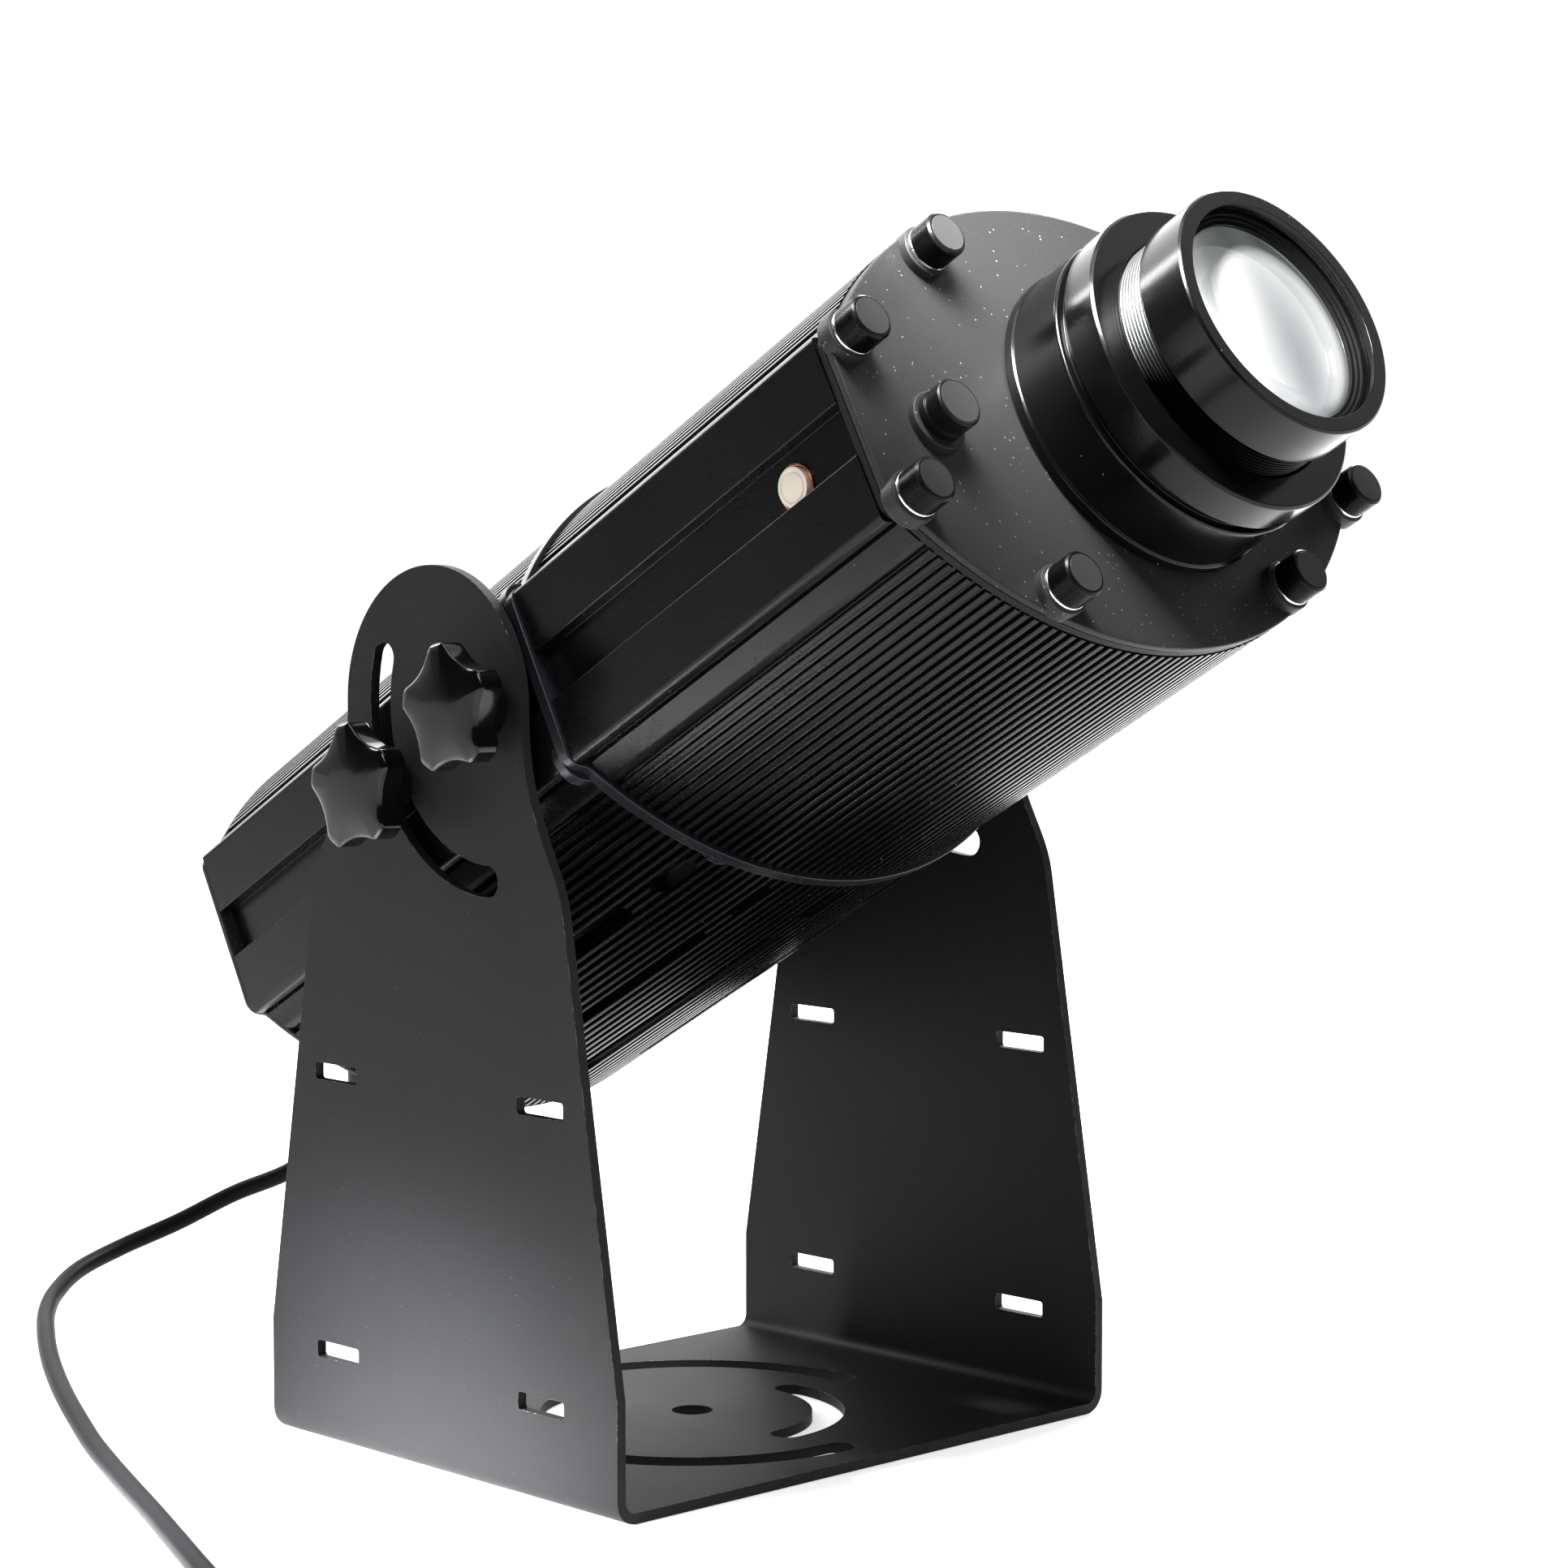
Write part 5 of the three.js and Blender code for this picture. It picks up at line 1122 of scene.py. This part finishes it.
@dataclass(frozen=True)
class HeadSection:
    """The section that the whole housing shares, a quarter of it mirrored twice."""

    half_width: float = 0.122
    wing_half_height: float = 0.0351
    wing_corner: float = 0.004
    crown_height: float = 0.0886
    crown_radius: float = 0.150
    ledge_half_width: float = 0.1143
    channel_half_height: float = 0.0098
    channel_depth: float = 0.006
    groove: tuple[float, float] = (0.0024, 0.0013)
    plain_strip: float = 0.009
    rib_pitch: float = 0.0042
    rib_depth: float = 0.0022
    side_wall: float = 0.006
    crown_wall: float = 0.007
    void_corner: tuple[float, float] = (0.019, 0.0091)
    void_drop: float = 0.0151

    @property
    def crown_centre(self) -> float:
        """The height of the upper crown's centre."""
        return self.crown_height - self.crown_radius

    @property
    def ledge_angle(self) -> float:
        """The angle about the crown's centre at which its foot stands."""
        return math.asin(self.ledge_half_width / self.crown_radius)

    def crown(self, radius: Array | float, angle: Array) -> Array:
        """Points on the upper crown: (r sin a, centre + r cos a)."""
        return np.stack([radius * np.sin(angle), self.crown_centre + radius * np.cos(angle)], axis=-1)

    def ribs(self) -> Array:
        """Half the ribbed crown, from its foot to the top, in flat crests and square grooves."""
        step = self.rib_pitch / self.crown_radius
        count = math.floor((self.ledge_angle - self.plain_strip / self.crown_radius) / step)
        angle = (np.arange(count)[:, None] + RIB[None, :, 0]).ravel() * step
        radius = self.crown_radius - self.rib_depth * np.tile(RIB[:, 1], count)
        return self.crown(radius, angle)[::-1]

    def mirrored(self, quarter: Array) -> Array:
        """The whole outline, anticlockwise, from a quarter that runs from the side to the top."""
        flipped = quarter[::-1] * MIRROR
        whole = np.vstack([quarter, flipped, -quarter, -flipped])
        apart = np.linalg.norm(whole - np.roll(whole, 1, axis=0), axis=1) > 1e-6
        return whole[apart]

    def ribbed_outline(self) -> Array:
        """The housing's outline: channel, wing, ledge groove, plain strip and ribs."""
        floor = self.half_width - self.channel_depth
        wide, deep = self.groove
        plain = self.plain_strip / self.crown_radius
        strip = self.crown(self.crown_radius, np.linspace(self.ledge_angle, self.ledge_angle - plain, 8))
        corners = np.array([
            [floor, 0.0],
            [floor, self.channel_half_height],
            [self.half_width, self.channel_half_height],
            [self.half_width, self.wing_half_height],
            [self.ledge_half_width + wide, self.wing_half_height],
            [self.ledge_half_width + wide, self.wing_half_height - deep],
            [self.ledge_half_width, self.wing_half_height - deep],
            strip[0],
            strip[1]])
        radii = [0.0003, 0.0003, 0.0005, self.wing_corner, 0.0003, 0.0003, 0.0003, 0.0004, 0.0003]
        edge = eased(corners, radii, steps=5)
        return self.mirrored(np.vstack([edge, strip[2:], self.ribs()]))

    def void_outline(self) -> Array:
        """The inside of the housing."""
        radius = self.crown_radius - self.crown_wall
        corner = (self.half_width - self.void_corner[0], self.wing_half_height - self.void_corner[1])
        side = (self.half_width - self.channel_depth - self.side_wall, self.wing_half_height - self.void_drop)
        angle = np.linspace(math.asin(corner[0] / radius), 0, 24)
        return self.mirrored(np.vstack([[side, corner], self.crown(radius, angle)]))

    def plate_outline(self, proud: float, corner_radius: float, inward: float = 0.0) -> Array:
        """The plain outline of the plates and the flange.

        Args:
            proud: how far it stands out from the housing.
            corner_radius: the radius of the wings' corners.
            inward: how far the whole outline is then drawn in.

        Returns:
            The outline, anticlockwise.
        """
        reach = self.crown_radius + proud
        middle = (self.half_width + proud - corner_radius, self.wing_half_height + proud - corner_radius)
        corner = arc(middle, corner_radius, 0, QUARTER_TURN, 10)
        ledge = math.asin(self.ledge_half_width / reach)
        crown = self.crown(reach, np.linspace(ledge, 0, 60))
        side = np.array([[self.half_width + proud, 0.0]])
        whole = self.mirrored(np.vstack([side, corner, crown]))
        return inset(whole, inward) if inward else whole


SECTION = HeadSection()


@dataclass(frozen=True)
class Housing:
    """The two ribbed lengths, the flange between them, the gasket and the two end plates."""

    flange: tuple[float, float] = (0.0191, 0.0241)
    front: tuple[float, float] = (0.0244, 0.2024)
    rear: tuple[float, float] = (-0.2012, 0.0188)
    rear_plate: tuple[float, float] = (-0.2040, -0.2015)
    gasket: tuple[float, float] = (0.2027, 0.2057)
    gasket_window: float = 0.066
    plate: tuple[float, float] = (0.2060, 0.2090)
    flange_proud: float = 0.0017
    flange_corner: float = 0.007
    plate_corner: float = 0.006
    plate_edge: float = 0.0009
    flange_edge: float = 0.0006
    gasket_edge: float = 0.0003
    gasket_inset: float = 0.0004
    collar: tuple[float, float] = (0.00975, 0.0035)
    collar_edge: float = 0.0007
    control_collar: tuple[float, float] = (0.0112, 0.0032)
    control_place: tuple[float, float] = (-0.0869, -0.0014)
    lens_hole: float = 0.0504
    vent_width: float = 0.007
    vent_pitch: float = 0.036
    vents_a_row: int = 5
    vent_corner: float = 0.42 * 0.007
    vent_reach: tuple[float, float] = (-0.016, 0.004)
    short_vent: tuple[float, float] = (-0.0142, 0.0098)
    long_vent: tuple[float, float] = (-0.1652, -0.0312)
    breather_place: tuple[float, float] = (0.1675, -0.0025)
    breather_hole: float = 0.0059
    breather_reach: tuple[float, float] = (-0.011, 0.002)
    overrun: float = 0.001
    root: float = 0.0002

    def vents(self) -> list[Shell]:
        """Cutters for the rear length's cooling slots, in both crowns."""
        cutters = []
        for low, high in (self.short_vent, self.long_vent):
            outline = long_slot(high - low, self.vent_width, self.vent_corner)
            slot = prism(outline, *(SECTION.crown_radius + reach for reach in self.vent_reach))
            for index in range(self.vents_a_row):
                turn = (index - (self.vents_a_row - 1) / 2) * self.vent_pitch / SECTION.crown_radius
                cos, sin = math.cos(turn), math.sin(turn)
                middle = (low + high) / 2
                for side in (-1, 1):
                    placement = Placement((0, side * SECTION.crown_centre, middle), (0, 0, 1),
                                          (side * cos, -side * sin, 0), (side * sin, side * cos, 0))
                    cutters.append(slot.carried(placement))
        return cutters

    def collars(self, base: float, height: float, edge: float) -> Shell:
        """The round collars at the eight screw places, rounded at their upper end.

        Args:
            base: where they start along the optical axis.
            height: their length, negative if they run backwards.
            edge: the radius of their edges.

        Returns:
            One shell with all eight.
        """
        one = turned(puck(self.collar[0], base, base + height, edge, 4), 64)
        shells = [one.shifted(*place) for place in SCREW_PLACES]
        return sum(shells[1:], shells[0])

    def build(self) -> None:
        """Builds the six pieces of the housing."""
        self.build_lengths()
        self.build_plates()

    def build_lengths(self) -> None:
        """Builds the front and rear lengths of the extrusion."""
        outline = SECTION.ribbed_outline()
        void = SECTION.void_outline()
        hole = arc((0, 0), self.breather_hole, 0, FULL_TURN, 32)[:-1]
        seat = facing_side(-1, *self.breather_place)
        breather = prism(hole, *(SECTION.half_width + reach for reach in self.breather_reach)).carried(seat)
        more = self.overrun
        seats = self.collars(self.rear[1] + more, -self.collar[1] - more, 0.0001)
        for name, (low, high), cutters in (
                ("front", self.front, [breather]),
                ("rear", self.rear, [*(vent.carried(HEAD) for vent in self.vents()), seats.carried(HEAD)])):
            hollow = prism(void, low - more, high + more).carried(HEAD)
            whole = prism(outline, low, high).carried(HEAD)
            show(f"{name}_length", whole, EXTRUSION, Body.HEAD, Slot.ANODISED, f"{name}_housing",
                 cutters=[hollow, *cutters])

    def build_plates(self) -> None:
        """Builds the flange, the gasket and the two end plates."""
        more, root, soft = self.overrun, self.root, self.collar_edge
        wide = SECTION.plate_outline(self.flange_proud, self.flange_corner)
        flange = (plate(wide, *self.flange, self.flange_edge)
                  + self.collars(self.flange[0] + more, -self.collar[1] - more, 0.0004))
        show("flange", flange.carried(HEAD), FLANGE, Body.HEAD, Slot.ANODISED, "middle_flange")
        inner = SECTION.plate_outline(0, self.plate_corner, self.gasket_inset)
        seal = plate(inner, *self.gasket, self.gasket_edge, LENS_CENTRE, self.gasket_window)
        show("gasket", seal.carried(HEAD), RUBBER, Body.HEAD, Slot.RUBBER, "front_gasket")
        plain = SECTION.plate_outline(0, self.plate_corner)
        low, high = self.plate
        radius, height = self.control_collar
        face = (plate(plain, low, high, self.plate_edge, LENS_CENTRE, self.lens_hole)
                + self.collars(low + root, high - low + self.collar[1], soft)
                + turned(puck(radius, low + root, high + height, soft, 4), 72).shifted(*self.control_place))
        show("face_plate", face.carried(HEAD), FACE, Body.HEAD, Slot.PLATE, "front_plate")
        back = plate(plain, *self.rear_plate, self.plate_edge)
        show("back_plate", back.carried(HEAD), FACE, Body.HEAD, Slot.PLATE, "rear_plate")


# Fastenings and controls


SCREW_PLACES = [
    (across * x, up * y)
    for across in (-1, 1) for up in (-1, 1) for x, y in ((0.0599, 0.0662), (0.1136, 0.0307))]


@dataclass(frozen=True)
class ThumbScrew:
    """A knurled thumb screw on its bright ring."""

    base: float = 0.2128
    ring: tuple[float, float] = (0.0087, 0.0012)
    head: tuple[float, float] = (0.0085, 0.0099)
    chamfer: float = 0.0008
    edge: float = 0.00025
    knurl_margin: float = 0.0012
    knurl_fade: float = 0.0004
    teeth: int = 44
    tooth_depth: float = 0.028
    cap_radius: float = 0.0070
    cap_proud: float = 0.00025
    ring_bore: float = 0.0025
    wall_rings: int = 26

    def knurl(self, angle: Array, height: Array) -> Array:
        """Diamond knurling: 1 - depth * |sin(n a + k h)| * |sin(n a - k h)| between the chamfers."""
        low = self.base + self.ring[1] + self.knurl_margin
        high = self.base + self.ring[1] + self.head[1] - self.knurl_margin
        fade = self.knurl_fade
        inside = np.clip((height - low) / fade, 0, 1) * np.clip((high - height) / fade, 0, 1)
        twist = self.teeth / 2 * height / self.head[0]
        first = np.abs(np.sin(self.teeth / 2 * angle + twist))
        second = np.abs(np.sin(self.teeth / 2 * angle - twist))
        return 1 - self.tooth_depth * (1 - np.minimum(first, second)) * inside

    def build(self, number: int, place: tuple[float, float]) -> None:
        """Builds one screw at a place on the front plate."""
        seat = HEAD.moved(*place)
        low = self.base + self.ring[1]
        high = low + self.head[1]
        radius, neck = self.head[0], high - self.chamfer
        corners = eased(
            [[0, low], [radius, low], [radius, neck], [radius - self.chamfer, high], [0, high]], self.edge)
        wall = np.linspace(low + 0.0005, neck - 0.0003, self.wall_rings)
        split = int(np.argmax(corners[:, 1] > low + 0.0004))
        knurled = np.column_stack([np.full(self.wall_rings, radius), wall])
        profile = np.vstack([corners[:split], knurled, corners[split:]])
        cap = puck(self.cap_radius, high - 0.0001, high + self.cap_proud, 0.0002)
        ring = hoop(self.ring_bore, self.ring[0], self.base, low, 0.0003)
        screw = turned(profile, 4 * self.teeth, self.knurl)
        name, body = f"thumb_screw_{number}", f"screw_{number}"
        show(f"{name}_head", screw.carried(seat), KNURL, body, Slot.ANODISED, name, sharp=60)
        show(f"{name}_cap", turned(cap, 48).carried(seat), CAP, body, Slot.ANODISED)
        show(f"{name}_ring", turned(ring, 64).carried(seat), BRIGHT, body, Slot.STEEL)


@dataclass(frozen=True)
class SpeedKnob:
    """The smooth speed knob with a groove near its base."""

    place: tuple[float, float] = (-0.0869, -0.0008)
    base: float = 0.2125
    radius: float = 0.0093
    height: float = 0.0106
    groove: tuple[float, float, float] = (0.003, 0.0016, 0.0007)
    bevel: float = 0.0006
    cap_inset: float = 0.0013

    def build(self) -> None:
        """Builds the knob and its grey top."""
        seat = HEAD.moved(*self.place)
        start, width, depth = self.groove
        low, top = self.base, self.base + self.height
        wide, foot, bevel = self.radius, low + start, self.bevel
        profile = eased([
            [0, low], [wide, low], [wide, foot], [wide - depth, foot], [wide - depth, foot + width],
            [wide, foot + width], [wide, top - bevel], [wide - bevel, top], [0, top]], 0.0003)
        cap = puck(wide - self.cap_inset, top - 0.0001, top + 0.0002, 0.0002)
        body = Body.SPEED_CONTROL
        show("speed_knob_body", turned(profile, 96).carried(seat), SATIN, body, Slot.PLASTIC, "speed_knob")
        show("speed_knob_cap", turned(cap, 64).carried(seat), CAP, body, Slot.PLASTIC)


@dataclass(frozen=True)
class StarKnob:
    """A glossy star knob with five round lobes on a round hub."""

    start: float = 0.1303
    hub: tuple[float, float] = (0.011, 0.0105)
    radius: float = 0.0242
    height: float = 0.0225
    lobes: int = 5
    valley_reach: float = 0.0190
    valley_radius: float = 0.022
    corner_softness: float = 0.0010
    rim: tuple[float, float] = (0.0013, 0.0012)

    def lobed(self, angle: Array, height: Array) -> Array:
        """The star's outline over its radius, a circle below the star and rounder up its dome.

        A valley is an arc round a centre outside the knob. At an angle b from it the arc lies at
        c cos b - sqrt(p^2 - c^2 sin^2 b), with c the centre's distance and p the arc's radius. The
        outline is the smooth minimum, -k ln(exp(-x/k) + exp(-y/k)), of that and the knob's radius.
        """
        share = angle * self.lobes / FULL_TURN % 1
        turn = np.abs(share - 0.5) * FULL_TURN / self.lobes
        centre = self.valley_reach + self.valley_radius
        room = np.maximum(self.valley_radius ** 2 - (centre * np.sin(turn)) ** 2, 0)
        valley = centre * np.cos(turn) - np.sqrt(room)
        soft = self.corner_softness
        outline = -soft * np.log(np.exp(-self.radius / soft) + np.exp(-valley / soft))
        above_hub = np.clip((height - self.hub[1] + 0.0002) / 0.0002, 0, 1)
        under_crown = np.clip((self.height - height) / self.rim[1], 0, 1)
        return 1 + (outline / self.radius - 1) * above_hub * under_crown

    def build(self, side: int, use: str, distance: float) -> None:
        """Builds one knob.

        Args:
            side: -1 for the left and 1 for the right.
            use: "pivot" or "lock".
            distance: how far ahead of the tilt axis it sits.
        """
        name = f"{'left' if side < 0 else 'right'}_{use}"
        hub, base = self.hub
        wide, top = self.radius, self.height
        inward, drop = self.rim
        flank = eased([
            [0, 0], [hub, 0], [hub, base - 0.0003], [wide - 0.0012, base], [wide, base + 0.0014],
            [wide, top - drop - 0.0010], [wide - inward, top - drop]],
            [0, 0.0004, 0.0002, 0.0006, 0.0012, 0.0012, 0], steps=6)
        share = np.linspace(1, 0, 14)[1:]
        dome = np.column_stack([(wide - inward) * share, top - drop * share ** 2])
        knob = turned(np.vstack([flank, dome]), 240, self.lobed)
        seat = facing_side(side, distance).moved(0, 0, self.start)
        star = f"{name}_star"
        show(star, knob.carried(seat), GLOSSY, star, Slot.PLASTIC, f"{name}_knob", sharp=55)


@dataclass(frozen=True)
class Breather:
    """The bright breather in the left channel, in its copper seal."""

    place: tuple[float, float] = (0.1675, -0.0025)
    floor: float = 0.116
    radius: float = 0.0070
    proud: float = 0.0024
    seal: tuple[float, float] = (0.0073, 0.0084)
    groove: tuple[tuple[float, float], tuple[float, float]] = ((0.0058, 0.0057), (0.0051, 0.0050))
    groove_depth: float = 0.0004
    washer_height: float = 0.0007
    gap: float = 0.0001

    def build(self) -> None:
        """Builds the plug with its ring groove, and the seal."""
        seat = facing_side(-1, *self.place)
        low, top = self.floor + self.gap, self.floor + self.proud
        (outer, outer_low), (inner_low, inner) = self.groove
        bottom = top - self.groove_depth
        plug = eased([
            [0, low], [self.radius, low], [self.radius, top], [outer, top], [outer_low, bottom],
            [inner_low, bottom], [inner, top], [0, top + 0.0001]], 0.00012)
        washer = hoop(*self.seal, low, self.floor + self.washer_height, 0.0002)
        for name, profile, finish, slot, node in (
                ("breather", plug, PLATED, Slot.STEEL, "breather_plug"),
                ("breather_washer", washer, COPPER, Slot.COPPER, "breather_seal")):
            show(name, turned(profile, 72).carried(seat), finish, Body.HEAD, slot, node)


# Lens


@dataclass(frozen=True)
class LensBarrel:
    """The focusing lens: fixed base and collar, threaded tube, barrel, retaining ring and glass."""

    base: float = 0.2093
    foot: tuple[float, float] = (0.06085, 0.004)
    base_radius: float = 0.060
    base_top: float = 0.2363
    shoulder: float = 0.004
    neck_radius: float = 0.0568
    collar: tuple[float, float] = (0.2403, 0.2547)
    collar_radius: float = 0.0601
    tube_radius: float = 0.0468
    tube_bore: float = 0.0435
    thread_pitch: float = 0.0015
    thread_depth: float = 0.0009
    barrel: tuple[float, float] = (0.2656, 0.2860)
    barrel_radius: float = 0.0484
    mouth_radius: float = 0.0422
    mouth_lip: float = 0.002
    bore: float = 0.0438
    ring: tuple[float, float] = (0.2762, 0.2802)
    ring_inner: float = 0.0389
    glass_seat: float = 0.2696
    glass_radius: float = 0.0432
    glass_edge: float = 0.006
    glass_rise: float = 0.007
    tube_from: float = 0.201
    tube_to: float = 0.2756
    gap: float = 0.0003
    ridge_pitch: float = 0.0011
    ridge_depth: float = 0.0003
    ring_steps: tuple[tuple[float, float], ...] = ((0.0030, 0.0009), (0.0016, 0.0019))

    def turn(self, profile: Array, segments: int = 192) -> Shell:
        """A profile turned round the lens's own axis."""
        return turned(profile, segments).carried(HEAD.moved(*LENS_CENTRE))

    def build(self) -> None:
        """Builds every piece of the lens."""
        self.build_base()
        self.build_tube()
        self.build_barrel()
        self.build_glass()

    def build_base(self) -> None:
        """Builds the fixed base with its rounded shoulder, and the collar."""
        foot, foot_height = self.foot
        inner = self.tube_radius + self.gap
        rim, neck = self.base + foot_height, self.collar[0] - self.gap
        corners = [
            [inner, self.base], [foot, self.base], [foot, rim], [self.base_radius, rim + 0.0006],
            [self.base_radius, self.base_top], [self.neck_radius, self.base_top], [self.neck_radius, neck],
            [inner, neck]]
        radii = [0.0003, 0.0010, 0.0010, 0.0004, self.shoulder, 0.0004, 0.0002, 0.0003]
        base = self.turn(eased(corners, radii, True, 6))
        show("lens_foot", base, MACHINED, Body.HEAD, Slot.ANODISED, "lens_base")
        low, high = self.collar
        wide = self.collar_radius
        corners = [
            [inner, low], [wide - 0.0004, low], [wide, low + 0.0004], [wide, high - 0.001],
            [wide - 0.001, high], [inner + 0.0008, high], [inner, high - 0.0008]]
        collar = self.turn(eased(corners, 0.0005, True, 4))
        show("lens_clamp_collar", collar, MACHINED, Body.HEAD, Slot.ANODISED, "lens_collar")

    def build_tube(self) -> None:
        """Builds the silver tube with rounded rings of thread where it shows."""
        height = np.arange(self.collar[0], self.barrel[0] + 0.004, self.thread_pitch / 10)
        groove = (0.5 + 0.5 * np.cos(FULL_TURN * height / self.thread_pitch)) ** 2
        thread = np.column_stack([self.tube_radius - self.thread_depth * groove, height])
        inner = self.tube_bore
        profile = np.vstack([
            [[self.tube_radius, self.tube_from]], thread,
            [[self.tube_radius, self.tube_to], [inner, self.tube_to], [inner, self.tube_from]]])
        show("lens_thread", self.turn(profile), THREAD, Body.FOCUS_BARREL, Slot.ALUMINIUM, "focus_tube",
             sharp=60)

    def build_barrel(self) -> None:
        """Builds the barrel with a ridged bore, and the stepped ring that holds the glass."""
        low, high = self.barrel
        lip = high - self.mouth_lip
        wide, fit, end = self.barrel_radius, self.tube_radius + self.gap, self.tube_to + self.gap
        ridge = np.arange(lip - 0.0003, self.ring[0] + 0.0005, -0.00012)
        groove = 0.5 + 0.5 * np.sign(np.sin(FULL_TURN * ridge / self.ridge_pitch))
        bore = self.bore - self.ridge_depth * groove
        outside = eased([
            [fit, low], [wide - 0.0004, low], [wide, low + 0.0004], [wide, high - 0.0008],
            [wide - 0.0008, high], [self.mouth_radius, high], [self.mouth_radius, lip],
            [self.bore, lip]], 0.0003, steps=4)
        profile = np.vstack([outside, np.column_stack([bore, ridge]), [[self.bore, end], [fit, end]]])
        show("barrel", self.turn(profile), MACHINED, Body.FOCUS_BARREL, Slot.ANODISED, "lens_barrel")
        bottom, top = self.ring
        inner = self.ring_inner
        (upper, upper_drop), (lower, lower_drop) = self.ring_steps
        ring = eased([
            [self.tube_bore, bottom], [self.tube_bore, top], [inner + upper, top],
            [inner + upper, top - upper_drop], [inner + lower, top - upper_drop],
            [inner + lower, top - lower_drop], [inner, top - lower_drop], [inner, bottom + 0.0006],
            [inner + 0.0012, bottom]], 0.0002, True)
        show("retaining_ring", self.turn(ring), BAFFLE, Body.FOCUS_BARREL, Slot.ANODISED, "lens_ring")

    def build_glass(self) -> None:
        """Builds the front lens: a flat rear, a ground edge and a front that is part of a sphere."""
        seat, rim = self.glass_seat, self.glass_seat + self.glass_edge
        clear = self.ring_inner
        sphere = (clear ** 2 + self.glass_rise ** 2) / (2 * self.glass_rise)
        reach = np.linspace(clear, 0, 40)
        bulge = rim + self.glass_rise - sphere + np.sqrt(sphere ** 2 - reach ** 2)
        edge = [[0, seat], [self.glass_radius, seat], [self.glass_radius, rim]]
        glass = self.turn(np.vstack([edge, np.column_stack([reach, bulge])]), 160)
        show("objective", glass, FRONT_GLASS, Body.FOCUS_GLASS, Slot.GLASS, "front_lens")


# Cable outlet


@dataclass(frozen=True)
class CableOutlet:
    """The gland on the rear plate, its dome nut and the cord's guard."""

    plate_rear: float = -0.2040
    hexagon: tuple[float, float] = (0.013, 0.006)
    dome: tuple[float, float, float] = (0.0116, 0.0086, 0.013)
    guard: tuple[float, float, float] = (0.0074, 0.0054, 0.030)
    gap: float = 0.0003
    bore: float = 0.0044
    dome_flutes: int = 18
    guard_rings: int = 7
    flute_depth: float = 0.02
    ring_depth: float = 0.0007

    @property
    def dome_from(self) -> float:
        """The height at which the dome nut starts."""
        return self.gap + self.hexagon[1] + 2 * self.gap

    @property
    def dome_bend(self) -> float:
        """The height at which the dome nut turns inwards."""
        return self.dome_from + self.dome[2] * 0.55

    def fluted(self, angle: Array, height: Array) -> Array:
        """Shallow flutes round the dome nut's straight part, which fade out at its bend."""
        flute = 0.5 - 0.5 * np.cos(self.dome_flutes * angle)
        return 1 - self.flute_depth * flute * np.clip((self.dome_bend - height) / 0.002, 0, 1)

    def build(self) -> None:
        """Builds the three pieces; their heights count backwards from the head."""
        forward = tuple(-np.array(HEAD.z_axis))
        origin = HEAD.moved(0, 0, self.plate_rear).origin
        seat = Placement(origin, HEAD.x_axis, tuple(-np.array(HEAD.y_axis)), forward)
        wide, tall = self.hexagon
        nut = eased(arc((0, 0), wide, 0, FULL_TURN, 6)[:-1], 0.0008, closed=True)
        hexagon = plate(nut, self.gap, self.gap + tall, 0.0005, (0, 0), self.bore)
        root, tip, length = self.dome
        low, bend = self.dome_from, self.dome_bend
        dome = eased([
            [self.bore, low], [root, low], [root, bend], [tip, low + length],
            [self.bore, low + length]], [0.0002, 0.0004, 0.004, 0.0015, 0.0004], True, 6)
        start = low + length + self.gap
        thick, thin, reach = self.guard
        height = np.linspace(start, start + reach, 140)
        share = (height - start) / reach
        ribs = self.ring_depth * (0.5 - 0.5 * np.cos(FULL_TURN * self.guard_rings * share)) ** 0.5
        outside = np.column_stack([thick + (thin - thick) * share - ribs, height])
        guard = np.vstack([[[self.bore, start]], outside, [[self.bore, start + reach]]])
        for name, shell, finish, slot, node in (
                ("gland_hexagon", hexagon, SATIN, Slot.PLASTIC, "cable_gland"),
                ("gland_dome", turned(dome, 4 * self.dome_flutes, self.fluted), SATIN, Slot.PLASTIC,
                 "gland_nut"),
                ("guard", turned(guard, 48), RUBBER, Slot.RUBBER, "cord_guard")):
            show(name, shell.carried(seat), finish, Body.HEAD, slot, node)


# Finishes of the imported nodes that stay

KEPT_FINISHES = (
    (BOARD, ["control_board"]),
    (BARE, ["heat_sink", "gobo_carrier", "gobo_motor", "power_supply"]),
    (CERAMIC, ["led_module"]),
    (LENS, ["rear_condenser_lens", "front_condenser_lens", "gobo_disc"]),
    (BRASS, ["gobo_gear", "motor_pinion"]),
    (BRIGHT, ["gobo_ring", "plug_pin_1", "plug_pin_2", "left_pivot_stud", "left_lock_stud",
              "right_pivot_stud", "right_lock_stud"]),
    (SATIN, ["fan_frame", "fan_rotor"]),
    (RUBBER, ["plug_body"]),
)


def dress_kept_nodes() -> None:
    """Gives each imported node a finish, those that new pieces stand for included."""
    finishes = {name: finish for finish, names in KEPT_FINISHES for name in names}
    for name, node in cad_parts.items():
        node.data.materials.clear()
        node.data.materials.append(finishes.get(name, MACHINED).material())
    LOG.info("dressed %d packed nodes", len(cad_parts))


def main() -> None:
    """Builds the studio and every sub-assembly in order."""
    logging.basicConfig(level=logging.INFO, format="%(name)s %(message)s")
    Studio().build()
    MainsCord().build()
    dress_kept_nodes()
    yoke = Yoke()
    yoke.build()
    Housing().build()
    for number, place in enumerate(SCREW_PLACES, 1):
        ThumbScrew().build(number, place)
    SpeedKnob().build()
    for side in (-1, 1):
        for use, distance in (("pivot", 0.0), ("lock", -yoke.lock_radius)):
            StarKnob().build(side, use, distance)
    Breather().build()
    LensBarrel().build()
    CableOutlet().build()


if __name__ == "__main__":
    main()
